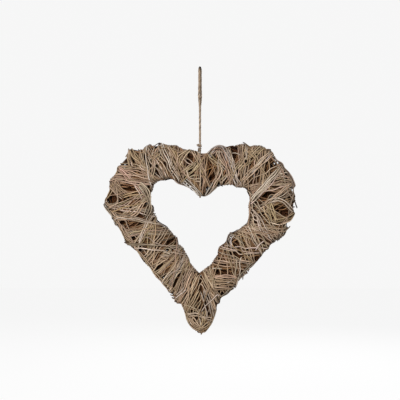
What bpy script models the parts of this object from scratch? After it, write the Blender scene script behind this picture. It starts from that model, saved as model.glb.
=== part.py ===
"""Heart-shaped wreath of thin vine, wound round two heart-shaped wires, on a
hanging loop of twine.

Metres, +Z up. The front faces -Y, and +X is to the right. The origin is the
inner top of the hanging loop, where a hook or a nail carries it.
"""

import math
import random

import bmesh
import bpy
import numpy as np
from mathutils import Vector

for _o in list(bpy.data.objects):
    bpy.data.objects.remove(_o, do_unlink=True)

MM = 0.001

# ---------------------------------------------------------------- sizes (mm)
WIRE_D = 1.6            # dark iron wire of both frame hearts
TWINE_D = 2.4           # two-ply jute twine
GAP = 0.3               # clearance between neighbouring pieces
HALF_DEPTH = 23.0       # half the wreath's thickness on the lobes, under the bundles

STATIONS_PER_SPAN = 5   # sections between two named stations
SIDE_POINTS = 7         # section points on the front, and again on the back
SECTION_POWER = 2.15    # 2 is an ellipse, more is squarer

RIDGE_HEIGHT = 3.4      # how far a bundle of strands stands proud
RIDGE_COUNT = 30        # bundles on each face
EDGE_DIP = 2.2          # how far the edge draws in between bundles
SEED = 11

LOOP_TOP = TWINE_D / 2  # the centreline's highest point
LOOP_BEND_R = 4.8       # half the distance between the legs at the top
LOOP_TURN = math.radians(14.0)   # how far the loop's plane is turned at the top
LOOP_OPEN = -46.0       # the legs are fully apart above this height
LOOP_CLOSE = -66.0      # and lie together below this one
KNOT_TOP = -116.6
KNOT_BOTTOM = -122.4
KNOT_R = 3.4
KNOT_FLAT_R = 2.75

# The wreath as a ring of sections, clockwise from the notch. Each section runs
# from a point on the outer heart to a point on the inner heart, and has its own
# half-depth as a share of HALF_DEPTH.
#   name                 outer x, z       inner x, z      depth
RING = [
    ("notch",            (1, -132.0),       (1.5, -201.0),     0.84),
    ("right_shoulder",   (33, -121.0),      (24, -187.5),      0.90),
    ("right_crown",      (68, -117.5),      (44, -183.0),      0.96),
    ("right_quarter",    (108, -129.0),     (63, -186.0),      1.00),
    ("right_lobe_high",  (136, -160.0),     (74, -195.0),      1.00),
    ("right_lobe_side",  (148, -204.0),     (75, -211.0),      1.00),
    ("right_lobe_low",   (139.5, -238.0),   (73, -232.0),      1.00),
    ("right_haunch",     (119.5, -266.5),   (54, -252.0),      0.98),
    ("right_flank_high", (92, -292.5),      (38.5, -270.0),    0.96),
    ("right_flank_mid",  (67, -322.0),      (23, -291.0),      0.92),
    ("right_flank_low",  (39.5, -348.0),    (9.5, -307.5),     0.84),
    ("right_cheek",      (21, -383.0),      (2.2, -313.0),     0.74),
    ("tip",              (0, -409.5),       (0, -315.5),       0.66),
    ("left_cheek",       (-22, -384.0),     (-2.2, -313.0),    0.74),
    ("left_flank_low",   (-42.5, -351.5),   (-9, -306.5),      0.84),
    ("left_flank_mid",   (-67.5, -322.5),   (-20.5, -288.0),   0.92),
    ("left_flank_high",  (-92.5, -292.0),   (-34, -265.0),     0.96),
    ("left_haunch",      (-117, -264.5),    (-51, -247.5),     0.98),
    ("left_lobe_low",    (-135.5, -235.5),  (-68.5, -230.0),   1.00),
    ("left_lobe_side",   (-148, -206.0),    (-75.5, -209.0),   1.00),
    ("left_lobe_high",   (-133, -161.0),    (-74, -190.0),     1.00),
    ("left_quarter",     (-107, -130.0),    (-65, -177.5),     1.00),
    ("left_crown",       (-68, -116.5),     (-49, -173.0),     0.96),
    ("left_shoulder",    (-33, -121.5),     (-21, -185.0),     0.90),
]


# ------------------------------------------------------------------ materials
def material(name, colour, roughness, metallic=0.0):
    m = bpy.data.materials.new(name)
    m.use_nodes = True
    p = m.node_tree.nodes["Principled BSDF"]
    p.inputs["Base Color"].default_value = (*colour, 1.0)
    p.inputs["Roughness"].default_value = roughness
    p.inputs["Metallic"].default_value = metallic
    return m


VINE = material("dried_vine", (0.29, 0.20, 0.125), 0.82)
WIRE = material("frame_wire", (0.035, 0.030, 0.028), 0.50, 0.6)
WIRE_IN = material("inner_frame_wire", (0.035, 0.030, 0.028), 0.50, 0.6)
TWINE = material("loop_twine", (0.26, 0.19, 0.125), 0.90)
KNOT = material("knot_twine", (0.25, 0.18, 0.12), 0.90)
TIE = material("tie_twine", (0.26, 0.19, 0.125), 0.90)


def finish(name, bm, mat, angle=60.0):
    bmesh.ops.recalc_face_normals(bm, faces=bm.faces)
    me = bpy.data.meshes.new(name)
    bm.to_mesh(me)
    bm.free()
    me.materials.append(mat)
    me.shade_smooth()
    me.set_sharp_from_angle(angle=math.radians(angle))
    ob = bpy.data.objects.new(name, me)
    bpy.context.scene.collection.objects.link(ob)
    return ob


# --------------------------------------------------------------- ring spline
def cyclic_spline(values, n):
    """A smooth closed curve through the values, with n steps to each span."""
    v = np.asarray(values, float)
    if v.ndim == 1:
        v = v[:, None]
    m = len(v)
    chord = np.linalg.norm(np.roll(v, -1, 0) - v, axis=1) ** 0.5 + 1e-9
    out = []
    for k in range(m):
        p0, p1, p2, p3 = (v[(k + j) % m] for j in (-1, 0, 1, 2))
        d0, d1, d2 = chord[(k - 1) % m], chord[k], chord[(k + 1) % m]
        t1 = (p1 - p0) / d0 - (p2 - p0) / (d0 + d1) + (p2 - p1) / d1
        t2 = (p2 - p1) / d1 - (p3 - p1) / (d1 + d2) + (p3 - p2) / d2
        t1, t2 = t1 * d1, t2 * d1
        for j in range(n):
            u = j / n
            h00 = 2 * u**3 - 3 * u**2 + 1
            h10 = u**3 - 2 * u**2 + u
            h01 = -2 * u**3 + 3 * u**2
            h11 = u**3 - u**2
            out.append(h00 * p1 + h10 * t1 + h01 * p2 + h11 * t2)
    return np.array(out)


OUTER = cyclic_spline([r[1] for r in RING], STATIONS_PER_SPAN)
INNER = cyclic_spline([r[2] for r in RING], STATIONS_PER_SPAN)
DEPTH = cyclic_spline([r[3] for r in RING], STATIONS_PER_SPAN)[:, 0] * HALF_DEPTH
COUNT = len(OUTER)


def oval(turn):
    """Unit section: turn 0 is the outer edge, 0.5 the inner edge, 0.25 the front."""
    a = 2 * math.pi * turn
    c, s = math.cos(a), math.sin(a)
    e = 2.0 / SECTION_POWER
    return (math.copysign(abs(c) ** e, c), -math.copysign(abs(s) ** e, s))


def section_point(k, turn, proud=0.0):
    """A point on section k, with `proud` mm added square to the oval."""
    o, i, b = OUTER[k % COUNT], INNER[k % COUNT], DEPTH[k % COUNT]
    mid = (o + i) / 2
    across = (o - i) / 2
    a = float(np.linalg.norm(across))
    unit = across / a
    u, w = oval(turn)
    nu, nw = u / a, w / b
    length = math.hypot(nu, nw) or 1.0
    r = a * u + proud * nu / length
    y = b * w + proud * nw / length
    return Vector((mid[0] + unit[0] * r, y, mid[1] + unit[1] * r))


# ------------------------------------------------------ relief of the bundles
rng = random.Random(SEED)
BUNDLES = []
for face in (0, 1):
    for j in range(RIDGE_COUNT):
        start = (j + rng.uniform(-0.35, 0.35)) * COUNT / RIDGE_COUNT
        BUNDLES.append((face, start, rng.uniform(-3.6, 3.6),
                        rng.uniform(0.8, 1.5), rng.uniform(0.45, 1.0)))


def bundle(k, face, f):
    """Share, 0 to 1, of a bundle's height over section k; f runs 0 at the outer
    edge to 1 at the inner edge."""
    best = 0.0
    for side, start, lean, width, height in BUNDLES:
        if side != face:
            continue
        d = (k - start - lean * (f - 0.5) + COUNT / 2) % COUNT - COUNT / 2
        best = max(best, height * math.exp(-((d / width) ** 2)))
    calm = 1.0 - math.exp(-(min(k, COUNT - k) / 1.9) ** 4)   # level under the tie
    return best * calm


def relief(k, turn):
    """Height of the wound bundles over section k at a turn, in mm."""
    face = 0 if turn < 0.5 else 1
    f = turn / 0.5 if face == 0 else (1.0 - turn) / 0.5
    return RIDGE_HEIGHT * bundle(k, face, f) * math.sin(math.pi * f) ** 0.5


def edge_dip(k, outer, face):
    """How far the lip of the edge draws in at section k, in mm."""
    f = 0.0 if outer else 1.0
    level = math.exp(-(min(k, COUNT - k) / 1.9) ** 4)
    return 0.25 + EDGE_DIP * (1.0 - min(1.0, 1.4 * bundle(k, face, f))) * (1.0 - level)


# ------------------------------------------------------------ vine_winding
# The groove in each edge, in which the frame wires lie
GROOVE_HALF = WIRE_D / 2 + GAP
WIRE_INSET = 3.0        # from the bundles' outline to the wire's centre
GROOVE_FLOOR = WIRE_INSET + WIRE_D / 2 + GAP


def edge_point(k, outer, inset, y):
    o, i = OUTER[k], INNER[k]
    a, b = (o, i) if outer else (i, o)
    unit = (b - a) / np.linalg.norm(b - a)
    p = a + unit * inset
    return Vector((p[0], y, p[1]))


def ring_section(k):
    pts = [edge_point(k, True, GROOVE_FLOOR, GROOVE_HALF),
           edge_point(k, True, GROOVE_FLOOR, -GROOVE_HALF),
           edge_point(k, True, edge_dip(k, True, 0), -GROOVE_HALF)]
    for j in range(SIDE_POINTS):
        t = 0.5 * (j + 1) / (SIDE_POINTS + 1)
        pts.append(section_point(k, t, relief(k, t)))
    pts += [edge_point(k, False, edge_dip(k, False, 0), -GROOVE_HALF),
            edge_point(k, False, GROOVE_FLOOR, -GROOVE_HALF),
            edge_point(k, False, GROOVE_FLOOR, GROOVE_HALF),
            edge_point(k, False, edge_dip(k, False, 1), GROOVE_HALF)]
    for j in range(SIDE_POINTS):
        t = 0.5 + 0.5 * (j + 1) / (SIDE_POINTS + 1)
        pts.append(section_point(k, t, relief(k, t)))
    pts.append(edge_point(k, True, edge_dip(k, True, 1), GROOVE_HALF))
    return pts


def ring_solid(name, sections, mat, angle=60.0):
    bm = bmesh.new()
    rows = [[bm.verts.new(p * MM) for p in s] for s in sections]
    n = len(rows[0])
    for k in range(len(rows)):
        a, b = rows[k], rows[(k + 1) % len(rows)]
        for j in range(n):
            bm.faces.new((a[j], a[(j + 1) % n], b[(j + 1) % n], b[j]))
    bmesh.ops.triangulate(bm, faces=bm.faces)
    return finish(name, bm, mat, angle)


ring_solid("vine_winding", [ring_section(k) for k in range(COUNT)], VINE, 50.0)


# -------------------------------------------------- outer_wire and inner_wire
def wire_section(k, outer, sides=6):
    pts = []
    for j in range(sides):
        a = 2 * math.pi * (j + 0.5) / sides
        pts.append(edge_point(k, outer, WIRE_INSET + WIRE_D / 2 * math.cos(a),
                              WIRE_D / 2 * math.sin(a)))
    return pts


ring_solid("outer_wire", [wire_section(k, True) for k in range(COUNT)], WIRE)
ring_solid("inner_wire", [wire_section(k, False) for k in range(COUNT)], WIRE_IN)


# ------------------------------------------------------------------ the twine
def resample(points, step):
    """Even steps along a smooth curve through the points."""
    p = np.array([tuple(q) for q in points], float)
    seg = np.linalg.norm(np.diff(p, axis=0), axis=1)
    s = np.concatenate([[0], np.cumsum(seg)])
    n = max(2, int(round(s[-1] / step)) + 1)
    at = np.linspace(0, s[-1], n)
    return [Vector([np.interp(a, s, p[:, c]) for c in range(3)]) for a in at]


def smooth_path(points, n=24):
    """Catmull-Rom curve through the route's own points."""
    p = [Vector(q) for q in points]
    p = [p[0] * 2 - p[1]] + p + [p[-1] * 2 - p[-2]]
    out = []
    for k in range(1, len(p) - 2):
        for j in range(n):
            u = j / n
            out.append(0.5 * (2 * p[k] + (p[k + 1] - p[k - 1]) * u
                              + (2 * p[k - 1] - 5 * p[k] + 4 * p[k + 1] - p[k + 2]) * u * u
                              + (3 * p[k] - p[k - 1] - 3 * p[k + 1] + p[k + 2]) * u**3))
    out.append(p[-2])
    return out


def tube(name, points, mat):
    cu = bpy.data.curves.new(name, "CURVE")
    cu.dimensions = "3D"
    sp = cu.splines.new("POLY")
    sp.points.add(len(points) - 1)
    for q, p in zip(sp.points, points):
        q.co = (p.x * MM, p.y * MM, p.z * MM, 1.0)
    cu.bevel_depth = TWINE_D / 2 * MM
    cu.bevel_resolution = 2
    cu.use_fill_caps = True
    cu.materials.append(mat)
    ob = bpy.data.objects.new(name, cu)
    bpy.context.scene.collection.objects.link(ob)
    return ob


# Hanging loop: two legs that hang side by side from the top bend, close on each
# other and run down together, one before the other, into the knot.
LEG_HALF = (TWINE_D + GAP) / 2


def leg(z, side):
    """A leg's centreline at a height: side -1 is the front leg, 1 the back leg."""
    u = min(1.0, max(0.0, (z - LOOP_CLOSE) / (LOOP_OPEN - LOOP_CLOSE)))
    blend = u * u * (3 - 2 * u)
    half = LEG_HALF + (LOOP_BEND_R - LEG_HALF) * blend
    turn = LOOP_TURN * (0.35 + 0.65 * u) + math.radians(5) * math.exp(-((z + 44.0) / 10.0) ** 2)
    if z < LOOP_CLOSE:
        turn = LOOP_TURN * 0.35 * max(0.0, (z - KNOT_TOP) / (LOOP_CLOSE - KNOT_TOP))
    return Vector((side * half * math.sin(turn), side * half * math.cos(turn), z))


END_Z = KNOT_TOP + GAP
BEND_Z = LOOP_TOP - LOOP_BEND_R
LEG_POINTS = 15
BEND_POINTS = 7
route = [leg(END_Z + (BEND_Z - END_Z) * j / LEG_POINTS, -1) for j in range(LEG_POINTS)]
for j in range(BEND_POINTS + 1):
    a = math.pi * j / BEND_POINTS
    h = -LOOP_BEND_R * math.cos(a)
    route.append(Vector((h * math.sin(LOOP_TURN), h * math.cos(LOOP_TURN),
                         BEND_Z + LOOP_BEND_R * math.sin(a))))
route += [leg(END_Z + (BEND_Z - END_Z) * j / LEG_POINTS, 1)
          for j in reversed(range(LEG_POINTS))]
tube("hanging_loop", resample(smooth_path(route), 5.2), TWINE)

# Knot: a small barrel with flat ends that the twine runs into, and the twine's
# cut end standing out of it to the left.
bm = bmesh.new()
profile = [(KNOT_FLAT_R, KNOT_TOP), (KNOT_R, KNOT_TOP - 1.5),
           (KNOT_R, KNOT_BOTTOM + 1.5), (KNOT_FLAT_R, KNOT_BOTTOM)]
SIDES = 12
rings = [[bm.verts.new(Vector((r * math.cos(2 * math.pi * j / SIDES),
                               r * math.sin(2 * math.pi * j / SIDES), z)) * MM)
          for j in range(SIDES)] for r, z in profile]
for a, b in zip(rings, rings[1:]):
    for j in range(SIDES):
        bm.faces.new((a[j], a[(j + 1) % SIDES], b[(j + 1) % SIDES], b[j]))
bm.faces.new(rings[0])
bm.faces.new(list(reversed(rings[-1])))
knot = finish("loop_knot", bm, KNOT, 50.0)

bm = bmesh.new()
STUB_START, STUB_END = Vector((-1.5, -0.8, -119.6)), Vector((-5.6, -1.8, -117.2))
along = (STUB_END - STUB_START).normalized()
across = along.orthogonal().normalized()
up = along.cross(across)
ends = [[bm.verts.new((p + (across * math.cos(2 * math.pi * j / 8)
                            + up * math.sin(2 * math.pi * j / 8)) * 1.0) * MM)
         for j in range(8)] for p in (STUB_START, STUB_END)]
for j in range(8):
    bm.faces.new((ends[0][j], ends[0][(j + 1) % 8], ends[1][(j + 1) % 8], ends[1][j]))
bm.faces.new(ends[0])
bm.faces.new(list(reversed(ends[1])))
stub = finish("knot_end_cutter", bm, KNOT)
stub.hide_render = True
stub.display_type = "WIRE"
join = knot.modifiers.new("end", "BOOLEAN")
join.operation = "UNION"
join.solver = "EXACT"
join.object = stub

# Tie: the twine's turn round the band at the notch, from the knot over the
# front, under the inner edge and up the back to the knot again.
TIE_PROUD = TWINE_D / 2 + GAP + 0.05
LAND = 0.085            # the turn at which the twine lands on the band
start = Vector((0, -LEG_HALF, KNOT_BOTTOM - GAP))
lead = Vector((0, -LEG_HALF, KNOT_BOTTOM - GAP - 2.4))
wrap = []
STEPS = 40
for j in range(STEPS + 1):
    t = LAND + (1 - 2 * LAND) * j / STEPS
    wrap.append(section_point(0, t, TIE_PROUD))
back = [Vector((p.x, -p.y, p.z)) for p in (lead, start)]
tube("twine_tie", [start] + resample(smooth_path([lead] + wrap + back[:1]), 5.2) + back[1:], TIE)
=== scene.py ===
import math

import bpy
import numpy as np
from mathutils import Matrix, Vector


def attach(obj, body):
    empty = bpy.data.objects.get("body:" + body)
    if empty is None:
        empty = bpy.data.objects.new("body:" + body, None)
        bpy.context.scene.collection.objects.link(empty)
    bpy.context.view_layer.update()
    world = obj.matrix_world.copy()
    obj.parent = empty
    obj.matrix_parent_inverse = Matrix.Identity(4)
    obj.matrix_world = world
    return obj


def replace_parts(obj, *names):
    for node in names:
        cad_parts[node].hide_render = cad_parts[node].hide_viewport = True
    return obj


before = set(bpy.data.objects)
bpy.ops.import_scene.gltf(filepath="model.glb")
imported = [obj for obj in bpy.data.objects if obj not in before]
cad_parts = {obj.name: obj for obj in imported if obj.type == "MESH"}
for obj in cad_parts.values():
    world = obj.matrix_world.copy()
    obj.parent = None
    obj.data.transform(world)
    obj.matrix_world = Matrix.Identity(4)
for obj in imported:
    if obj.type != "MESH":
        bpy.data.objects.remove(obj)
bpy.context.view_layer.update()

MM = 0.001
scene = bpy.context.scene

# ------------------------------------------------------------------ camera
FRAME_W = 0.61696                 # what the picture spans at the heart, in metres
LENS, SENSOR = 85.0, 36.0
cam_data = bpy.data.cameras.new("camera")
cam_data.lens = LENS
cam_data.sensor_width = SENSOR
cam_data.clip_end = 50.0
cam = bpy.data.objects.new("camera", cam_data)
scene.collection.objects.link(cam)
cam.location = (0.0, -FRAME_W * LENS / SENSOR, -0.2038)
cam.rotation_euler = (math.radians(90), 0, 0)
scene.camera = cam


# -------------------------------------------------------------- mesh tools
def srgb(r, g, b):
    """Linear colour from display values of 0 to 255."""
    return tuple(((c / 255) / 12.92 if c / 255 <= 0.04045 else ((c / 255 + 0.055) / 1.055) ** 2.4)
                 for c in (r, g, b))


def smooth_path(points, n=24):
    """Catmull-Rom curve through the points."""
    p = np.array([tuple(q) for q in points], float)
    p = np.vstack([2 * p[0] - p[1], p, 2 * p[-1] - p[-2]])
    out = []
    for k in range(1, len(p) - 2):
        for j in range(n):
            u = j / n
            out.append(0.5 * (2 * p[k] + (p[k + 1] - p[k - 1]) * u
                              + (2 * p[k - 1] - 5 * p[k] + 4 * p[k + 1] - p[k + 2]) * u * u
                              + (3 * p[k] - p[k - 1] - 3 * p[k + 1] + p[k + 2]) * u**3))
    out.append(p[-2])
    return np.array(out)


def even(points, step):
    """Points at even steps along a line."""
    p = np.asarray(points, float)
    s = np.concatenate([[0], np.cumsum(np.linalg.norm(np.diff(p, axis=0), axis=1))])
    n = max(2, int(round(s[-1] / step)) + 1)
    at_ = np.linspace(0, s[-1], n)
    return np.column_stack([np.interp(at_, s, p[:, c]) for c in range(3)])


def frames(p, first=None):
    """Tangents and two normals that turn as little as they can."""
    t = np.gradient(p, axis=0)
    t /= np.linalg.norm(t, axis=1)[:, None] + 1e-12
    n = len(p)
    a = np.empty_like(p)
    v = np.array(first, float) if first is not None else np.array([0.0, 1.0, 0.0])
    if abs(v @ t[0]) > 0.9:
        v = np.array([1.0, 0.0, 0.0])
    for k in range(n):
        v = v - t[k] * (v @ t[k])
        v /= np.linalg.norm(v) + 1e-12
        a[k] = v
    return t, a, np.cross(t, a)


class Tubes:
    """Collects tubes and makes one mesh of them, with a colour and a grain
    coordinate at each point and a map of straightened strips."""

    def __init__(self):
        self.v, self.q, self.caps, self.grain, self.tint, self.strips = [], [], [], [], [], []
        self.n = 0

    def add(self, p, r, sides, tint, seed, spin=0.0, first=None, up=None, painted_flank_shade=1.0):
        """p points in mm, r radius at each, tint one colour or one for each point.
        up gives the outward direction at each point: that side of the tube keeps
        its full colour, and the flanks are painted darker as shade, keeping only the given share of each colour."""
        n = len(p)
        t, a, b = frames(p, first)
        if up is not None:
            a = up - t * (up * t).sum(1)[:, None]
            ln = np.linalg.norm(a, axis=1)
            for k in range(1, n):
                if ln[k] < 0.12:
                    a[k] = a[k - 1] - t[k] * (a[k - 1] @ t[k])
            a /= np.linalg.norm(a, axis=1)[:, None] + 1e-9
            b = np.cross(t, a)
        r = np.broadcast_to(np.asarray(r, float), (n,)).copy()
        s = np.concatenate([[0], np.cumsum(np.linalg.norm(np.diff(p, axis=0), axis=1))])
        ang = np.arange(sides) * 2 * math.pi / sides + spin
        off = (np.cos(ang)[None, :, None] * a[:, None, :]
               + np.sin(ang)[None, :, None] * b[:, None, :])
        v = (p[:, None, :] + off * r[:, None, None]).reshape(-1, 3)
        i = np.arange(n - 1)[:, None] * sides
        j = np.arange(sides)[None, :]
        j2 = (j + 1) % sides
        q = np.stack([i + j, i + j2, i + sides + j2, i + sides + j], -1).reshape(-1, 4)
        self.v.append(v)
        self.q.append(q + self.n)
        g = np.empty((n, sides, 3))
        g[:, :, 0] = s[:, None] / 10.0 + seed
        g[:, :, 1] = np.cos(ang)[None, :] + seed * 1.7
        g[:, :, 2] = np.sin(ang)[None, :] - seed * 0.6
        self.grain.append(g.reshape(-1, 3))
        c = np.ones((n, sides, 4))
        tint = np.asarray(tint, float)
        c[:, :, :3] = tint[:, None, :] if tint.ndim == 2 else tint
        if up is not None:
            # painted shade: the outward crest keeps its colour, the tube's sides are darkened towards the flank share
            w = np.clip((np.cos(ang) + 0.1) / 1.1, 0, 1) ** 3.1
            painted_flank_shade = np.broadcast_to(np.asarray(painted_flank_shade, float), (3,))
            c[:, :, :3] *= (painted_flank_shade[None, :] + (1 - painted_flank_shade)[None, :] * w[:, None])[None]
        self.tint.append(c.reshape(-1, 4))
        self.caps.append((self.n, sides, n))
        self.strips.append((s, sides, float(r.mean())))
        self.n += n * sides

    def mesh(self, name, material, uv=True):
        v = np.vstack(self.v) * MM
        q = np.vstack(self.q)
        cap_loops, cap_sizes = [], []
        for base, m, n in self.caps:
            cap_loops += list(range(base + m - 1, base - 1, -1))
            cap_loops += list(range(base + (n - 1) * m, base + n * m))
            cap_sizes += [m, m]
        loops = np.concatenate([q.reshape(-1), np.array(cap_loops)])
        sizes = np.concatenate([np.full(len(q), 4), cap_sizes]).astype(np.int32)
        starts = np.concatenate([[0], np.cumsum(sizes)[:-1]]).astype(np.int32)
        me = bpy.data.meshes.new(name)
        me.vertices.add(len(v))
        me.vertices.foreach_set("co", v.astype(np.float32).ravel())
        me.loops.add(len(loops))
        me.loops.foreach_set("vertex_index", loops.astype(np.int32))
        me.polygons.add(len(sizes))
        me.polygons.foreach_set("loop_start", starts)
        me.polygons.foreach_set("loop_total", sizes)
        me.update(calc_edges=True)
        me.shade_smooth()
        a = me.attributes.new("grain", "FLOAT_VECTOR", "POINT")
        a.data.foreach_set("vector", np.vstack(self.grain).astype(np.float32).ravel())
        a = me.attributes.new("tint", "FLOAT_COLOR", "POINT")
        a.data.foreach_set("color", np.vstack(self.tint).astype(np.float32).ravel())
        if uv:
            me.uv_layers.new(name="OFBake")
            me.uv_layers["OFBake"].data.foreach_set("uv", self.strip_map(len(loops)).astype(np.float32).ravel())
        ob = bpy.data.objects.new(name, me)
        scene.collection.objects.link(ob)
        me.materials.append(material)
        return ob

    def strip_map(self, loop_count):
        """Each tube is a straight strip, and the strips stand in rows."""
        length = sum(s[-1] for s, m, r in self.strips)
        around = max(2 * math.pi * r for s, m, r in self.strips)
        rows = max(2, int(math.ceil(math.sqrt(length * 1.10 / around))))
        width = length * 1.10 / rows
        while True:
            uvs, row, x = [], 0, 0.0
            for s, m, r in self.strips:
                seg = np.diff(s)
                u0 = np.empty(len(seg)); rw = np.empty(len(seg))
                for k, d in enumerate(seg):
                    if x + d > width:
                        row += 1
                        x = 0.0
                    u0[k] = x
                    rw[k] = row
                    x += d
                x += around * 0.25
                j = np.arange(m)
                lo = (rw[:, None] + 0.08 + 0.84 * j[None, :] / m)
                hi = (rw[:, None] + 0.08 + 0.84 * (j[None, :] + 1) / m)
                ua = np.repeat(u0[:, None], m, 1)
                ub = np.repeat((u0 + seg)[:, None], m, 1)
                uvs.append(np.stack([np.stack([ua, lo], -1), np.stack([ua, hi], -1),
                                     np.stack([ub, hi], -1), np.stack([ub, lo], -1)], 2).reshape(-1, 2))
            if row < rows:
                break
            rows = row + 1
        uv = np.vstack(uvs)
        uv[:, 0] /= width
        uv[:, 1] /= rows
        rest = loop_count - len(uv)
        caps = []
        at_ = 0
        for (s, m, r) in self.strips:
            first = uv[at_]
            last = uv[at_ + 4 * m * (len(s) - 1) - 4 * m + 2]
            for c, back in ((first, 1.0), (last, -1.0)):
                a = np.arange(m) * 2 * math.pi / m
                q = c + np.column_stack([back * 0.2 * around / width * (0.5 + 0.5 * np.cos(a)),
                                         0.4 / rows + 0.3 / rows * np.sin(a)]) * np.array([1, 1 if back > 0 else -1])
                caps.append(q)
            at_ += 4 * m * (len(s) - 1)
        caps = np.clip(np.vstack(caps), 0.0005, 0.9995)
        assert len(caps) == rest
        return np.vstack([uv, caps])


def new_material(name):
    m = bpy.data.materials.new(name)
    m.use_nodes = True
    nt = m.node_tree
    return m, nt.nodes, nt.links, nt.nodes["Principled BSDF"]


def maths(N, L, op, a, b=None):
    n = N.new("ShaderNodeMath")
    n.operation = op
    for k, v in enumerate((a, b)):
        if v is None:
            continue
        if isinstance(v, (int, float)):
            n.inputs[k].default_value = v
        else:
            L.new(v, n.inputs[k])
    return n.outputs[0]


def fibre_material(name, scale, depth, low, high, spots, rough):
    """Dry plant fibre: the colours each piece carries at its points, painted shade included where a piece has it,
    streaked along the grain.
    """
    m, N, L, p = new_material(name)
    tint = N.new("ShaderNodeAttribute"); tint.attribute_name = "tint"
    grain = N.new("ShaderNodeAttribute"); grain.attribute_name = "grain"
    long_ = N.new("ShaderNodeVectorMath"); long_.operation = "MULTIPLY"
    long_.inputs[1].default_value = (0.55, 2.4, 2.4)
    L.new(grain.outputs["Vector"], long_.inputs[0])
    streak = N.new("ShaderNodeTexNoise")
    streak.inputs["Scale"].default_value = scale
    streak.inputs["Detail"].default_value = 4.0
    streak.inputs["Roughness"].default_value = 0.62
    L.new(long_.outputs[0], streak.inputs["Vector"])
    patch = N.new("ShaderNodeTexNoise")
    patch.inputs["Scale"].default_value = 0.9
    patch.inputs["Detail"].default_value = 2.0
    L.new(grain.outputs["Vector"], patch.inputs["Vector"])
    s = N.new("ShaderNodeMapRange")
    s.inputs["From Min"].default_value = 0.3
    s.inputs["From Max"].default_value = 0.7
    s.inputs["To Min"].default_value = low
    s.inputs["To Max"].default_value = high
    L.new(streak.outputs["Fac"], s.inputs["Value"])
    w = N.new("ShaderNodeMapRange")
    w.inputs["From Min"].default_value = 0.35
    w.inputs["From Max"].default_value = 0.7
    w.inputs["To Min"].default_value = 1.0 - spots
    w.inputs["To Max"].default_value = 1.0 + spots * 0.6
    L.new(patch.outputs["Fac"], w.inputs["Value"])
    k = maths(N, L, "MULTIPLY", s.outputs["Result"], w.outputs["Result"])
    mix = N.new("ShaderNodeVectorMath"); mix.operation = "SCALE"
    L.new(tint.outputs["Color"], mix.inputs[0])
    L.new(k, mix.inputs["Scale"])
    L.new(mix.outputs["Vector"], p.inputs["Base Color"])
    p.inputs["Roughness"].default_value = rough
    p.inputs["Specular IOR Level"].default_value = 0.1
    bump = N.new("ShaderNodeBump")
    bump.inputs["Strength"].default_value = 0.55
    bump.inputs["Distance"].default_value = depth
    L.new(streak.outputs["Fac"], bump.inputs["Height"])
    L.new(bump.outputs["Normal"], p.inputs["Normal"])
    return m


# ------------------------------------------------------- the hanging twine
TWINE_D, GAP = 2.4, 0.3
LOOP_TOP, LOOP_BEND_R, LOOP_TURN = 1.2, 4.8, math.radians(14.0)
LOOP_OPEN, LOOP_CLOSE, KNOT_TOP, KNOT_BOTTOM = -46.0, -66.0, -116.6, -122.4
LEG_HALF = (TWINE_D + GAP) / 2


def leg(z, side):
    """Centre of one leg of the loop: side -1 is the front one, 1 the back one."""
    u = min(1.0, max(0.0, (z - LOOP_CLOSE) / (LOOP_OPEN - LOOP_CLOSE)))
    blend = u * u * (3 - 2 * u)
    half = LEG_HALF + (LOOP_BEND_R - LEG_HALF) * blend
    turn = LOOP_TURN * (0.35 + 0.65 * u) + math.radians(5) * math.exp(-((z + 44.0) / 10.0) ** 2)
    if z < LOOP_CLOSE:
        turn = LOOP_TURN * 0.35 * max(0.0, (z - KNOT_TOP) / (LOOP_CLOSE - KNOT_TOP))
    return (side * half * math.sin(turn), side * half * math.cos(turn), z)


END_Z = KNOT_TOP + GAP
BEND_Z = LOOP_TOP - LOOP_BEND_R
LEG_POINTS, BEND_POINTS = 15, 7
route = [leg(END_Z + (BEND_Z - END_Z) * j / LEG_POINTS, -1) for j in range(LEG_POINTS)]
for j in range(BEND_POINTS + 1):
    a = math.pi * j / BEND_POINTS
    h = -LOOP_BEND_R * math.cos(a)
    route.append((h * math.sin(LOOP_TURN), h * math.cos(LOOP_TURN), BEND_Z + LOOP_BEND_R * math.sin(a)))
route += [leg(END_Z + (BEND_Z - END_Z) * j / LEG_POINTS, 1) for j in reversed(range(LEG_POINTS))]
LOOP_PATH = even(smooth_path(route), 5.2)

JUTE = fibre_material("jute", 3.2, 0.0003, 0.62, 1.22, 0.22, 0.9)
JUTE_TONES = [srgb(121, 105, 88), srgb(107, 91, 75), srgb(135, 118, 100)]
jute_rng = np.random.default_rng(41)


def plied(tubes, line, ply=0.90, offset=0.80, pitch=9.0, sides=6, step=1.15, phase=0.0, taper=None, loose=0.0,
          darkening=None):
    """Three plies twisted round each other along a line in mm."""
    p = even(line, step)
    s = np.concatenate([[0], np.cumsum(np.linalg.norm(np.diff(p, axis=0), axis=1))])
    t, a, b = frames(p, (0.0, 1.0, 0.2))
    for k in (0, 1, 2):
        swell = 1 + 0.10 * np.sin(s / 5.3 + 2.1 * k + phase) + 0.07 * np.sin(s / 1.9 + 4 * k + phase)
        f = 2 * math.pi * s / pitch + 2 * math.pi * k / 3 + phase
        r = ply * swell
        o = offset * (1 + loose * np.sin(s / 3.1 + k))
        if taper is not None:
            r = r * taper(s / s[-1])
            o = o * taper(s / s[-1])
        q = p + a * (np.cos(f) * o)[:, None] + b * (np.sin(f) * o)[:, None]
        base = np.array(JUTE_TONES[int(jute_rng.integers(0, 3))])
        shade = 1 + 0.16 * np.sin(s / 7.0 + 3 * k + phase)[:, None]
        if darkening is not None:
            shade = shade * darkening(q)[:, None]
        tubes.add(q, r, sides, base * shade, jute_rng.uniform(0, 60))


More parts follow.
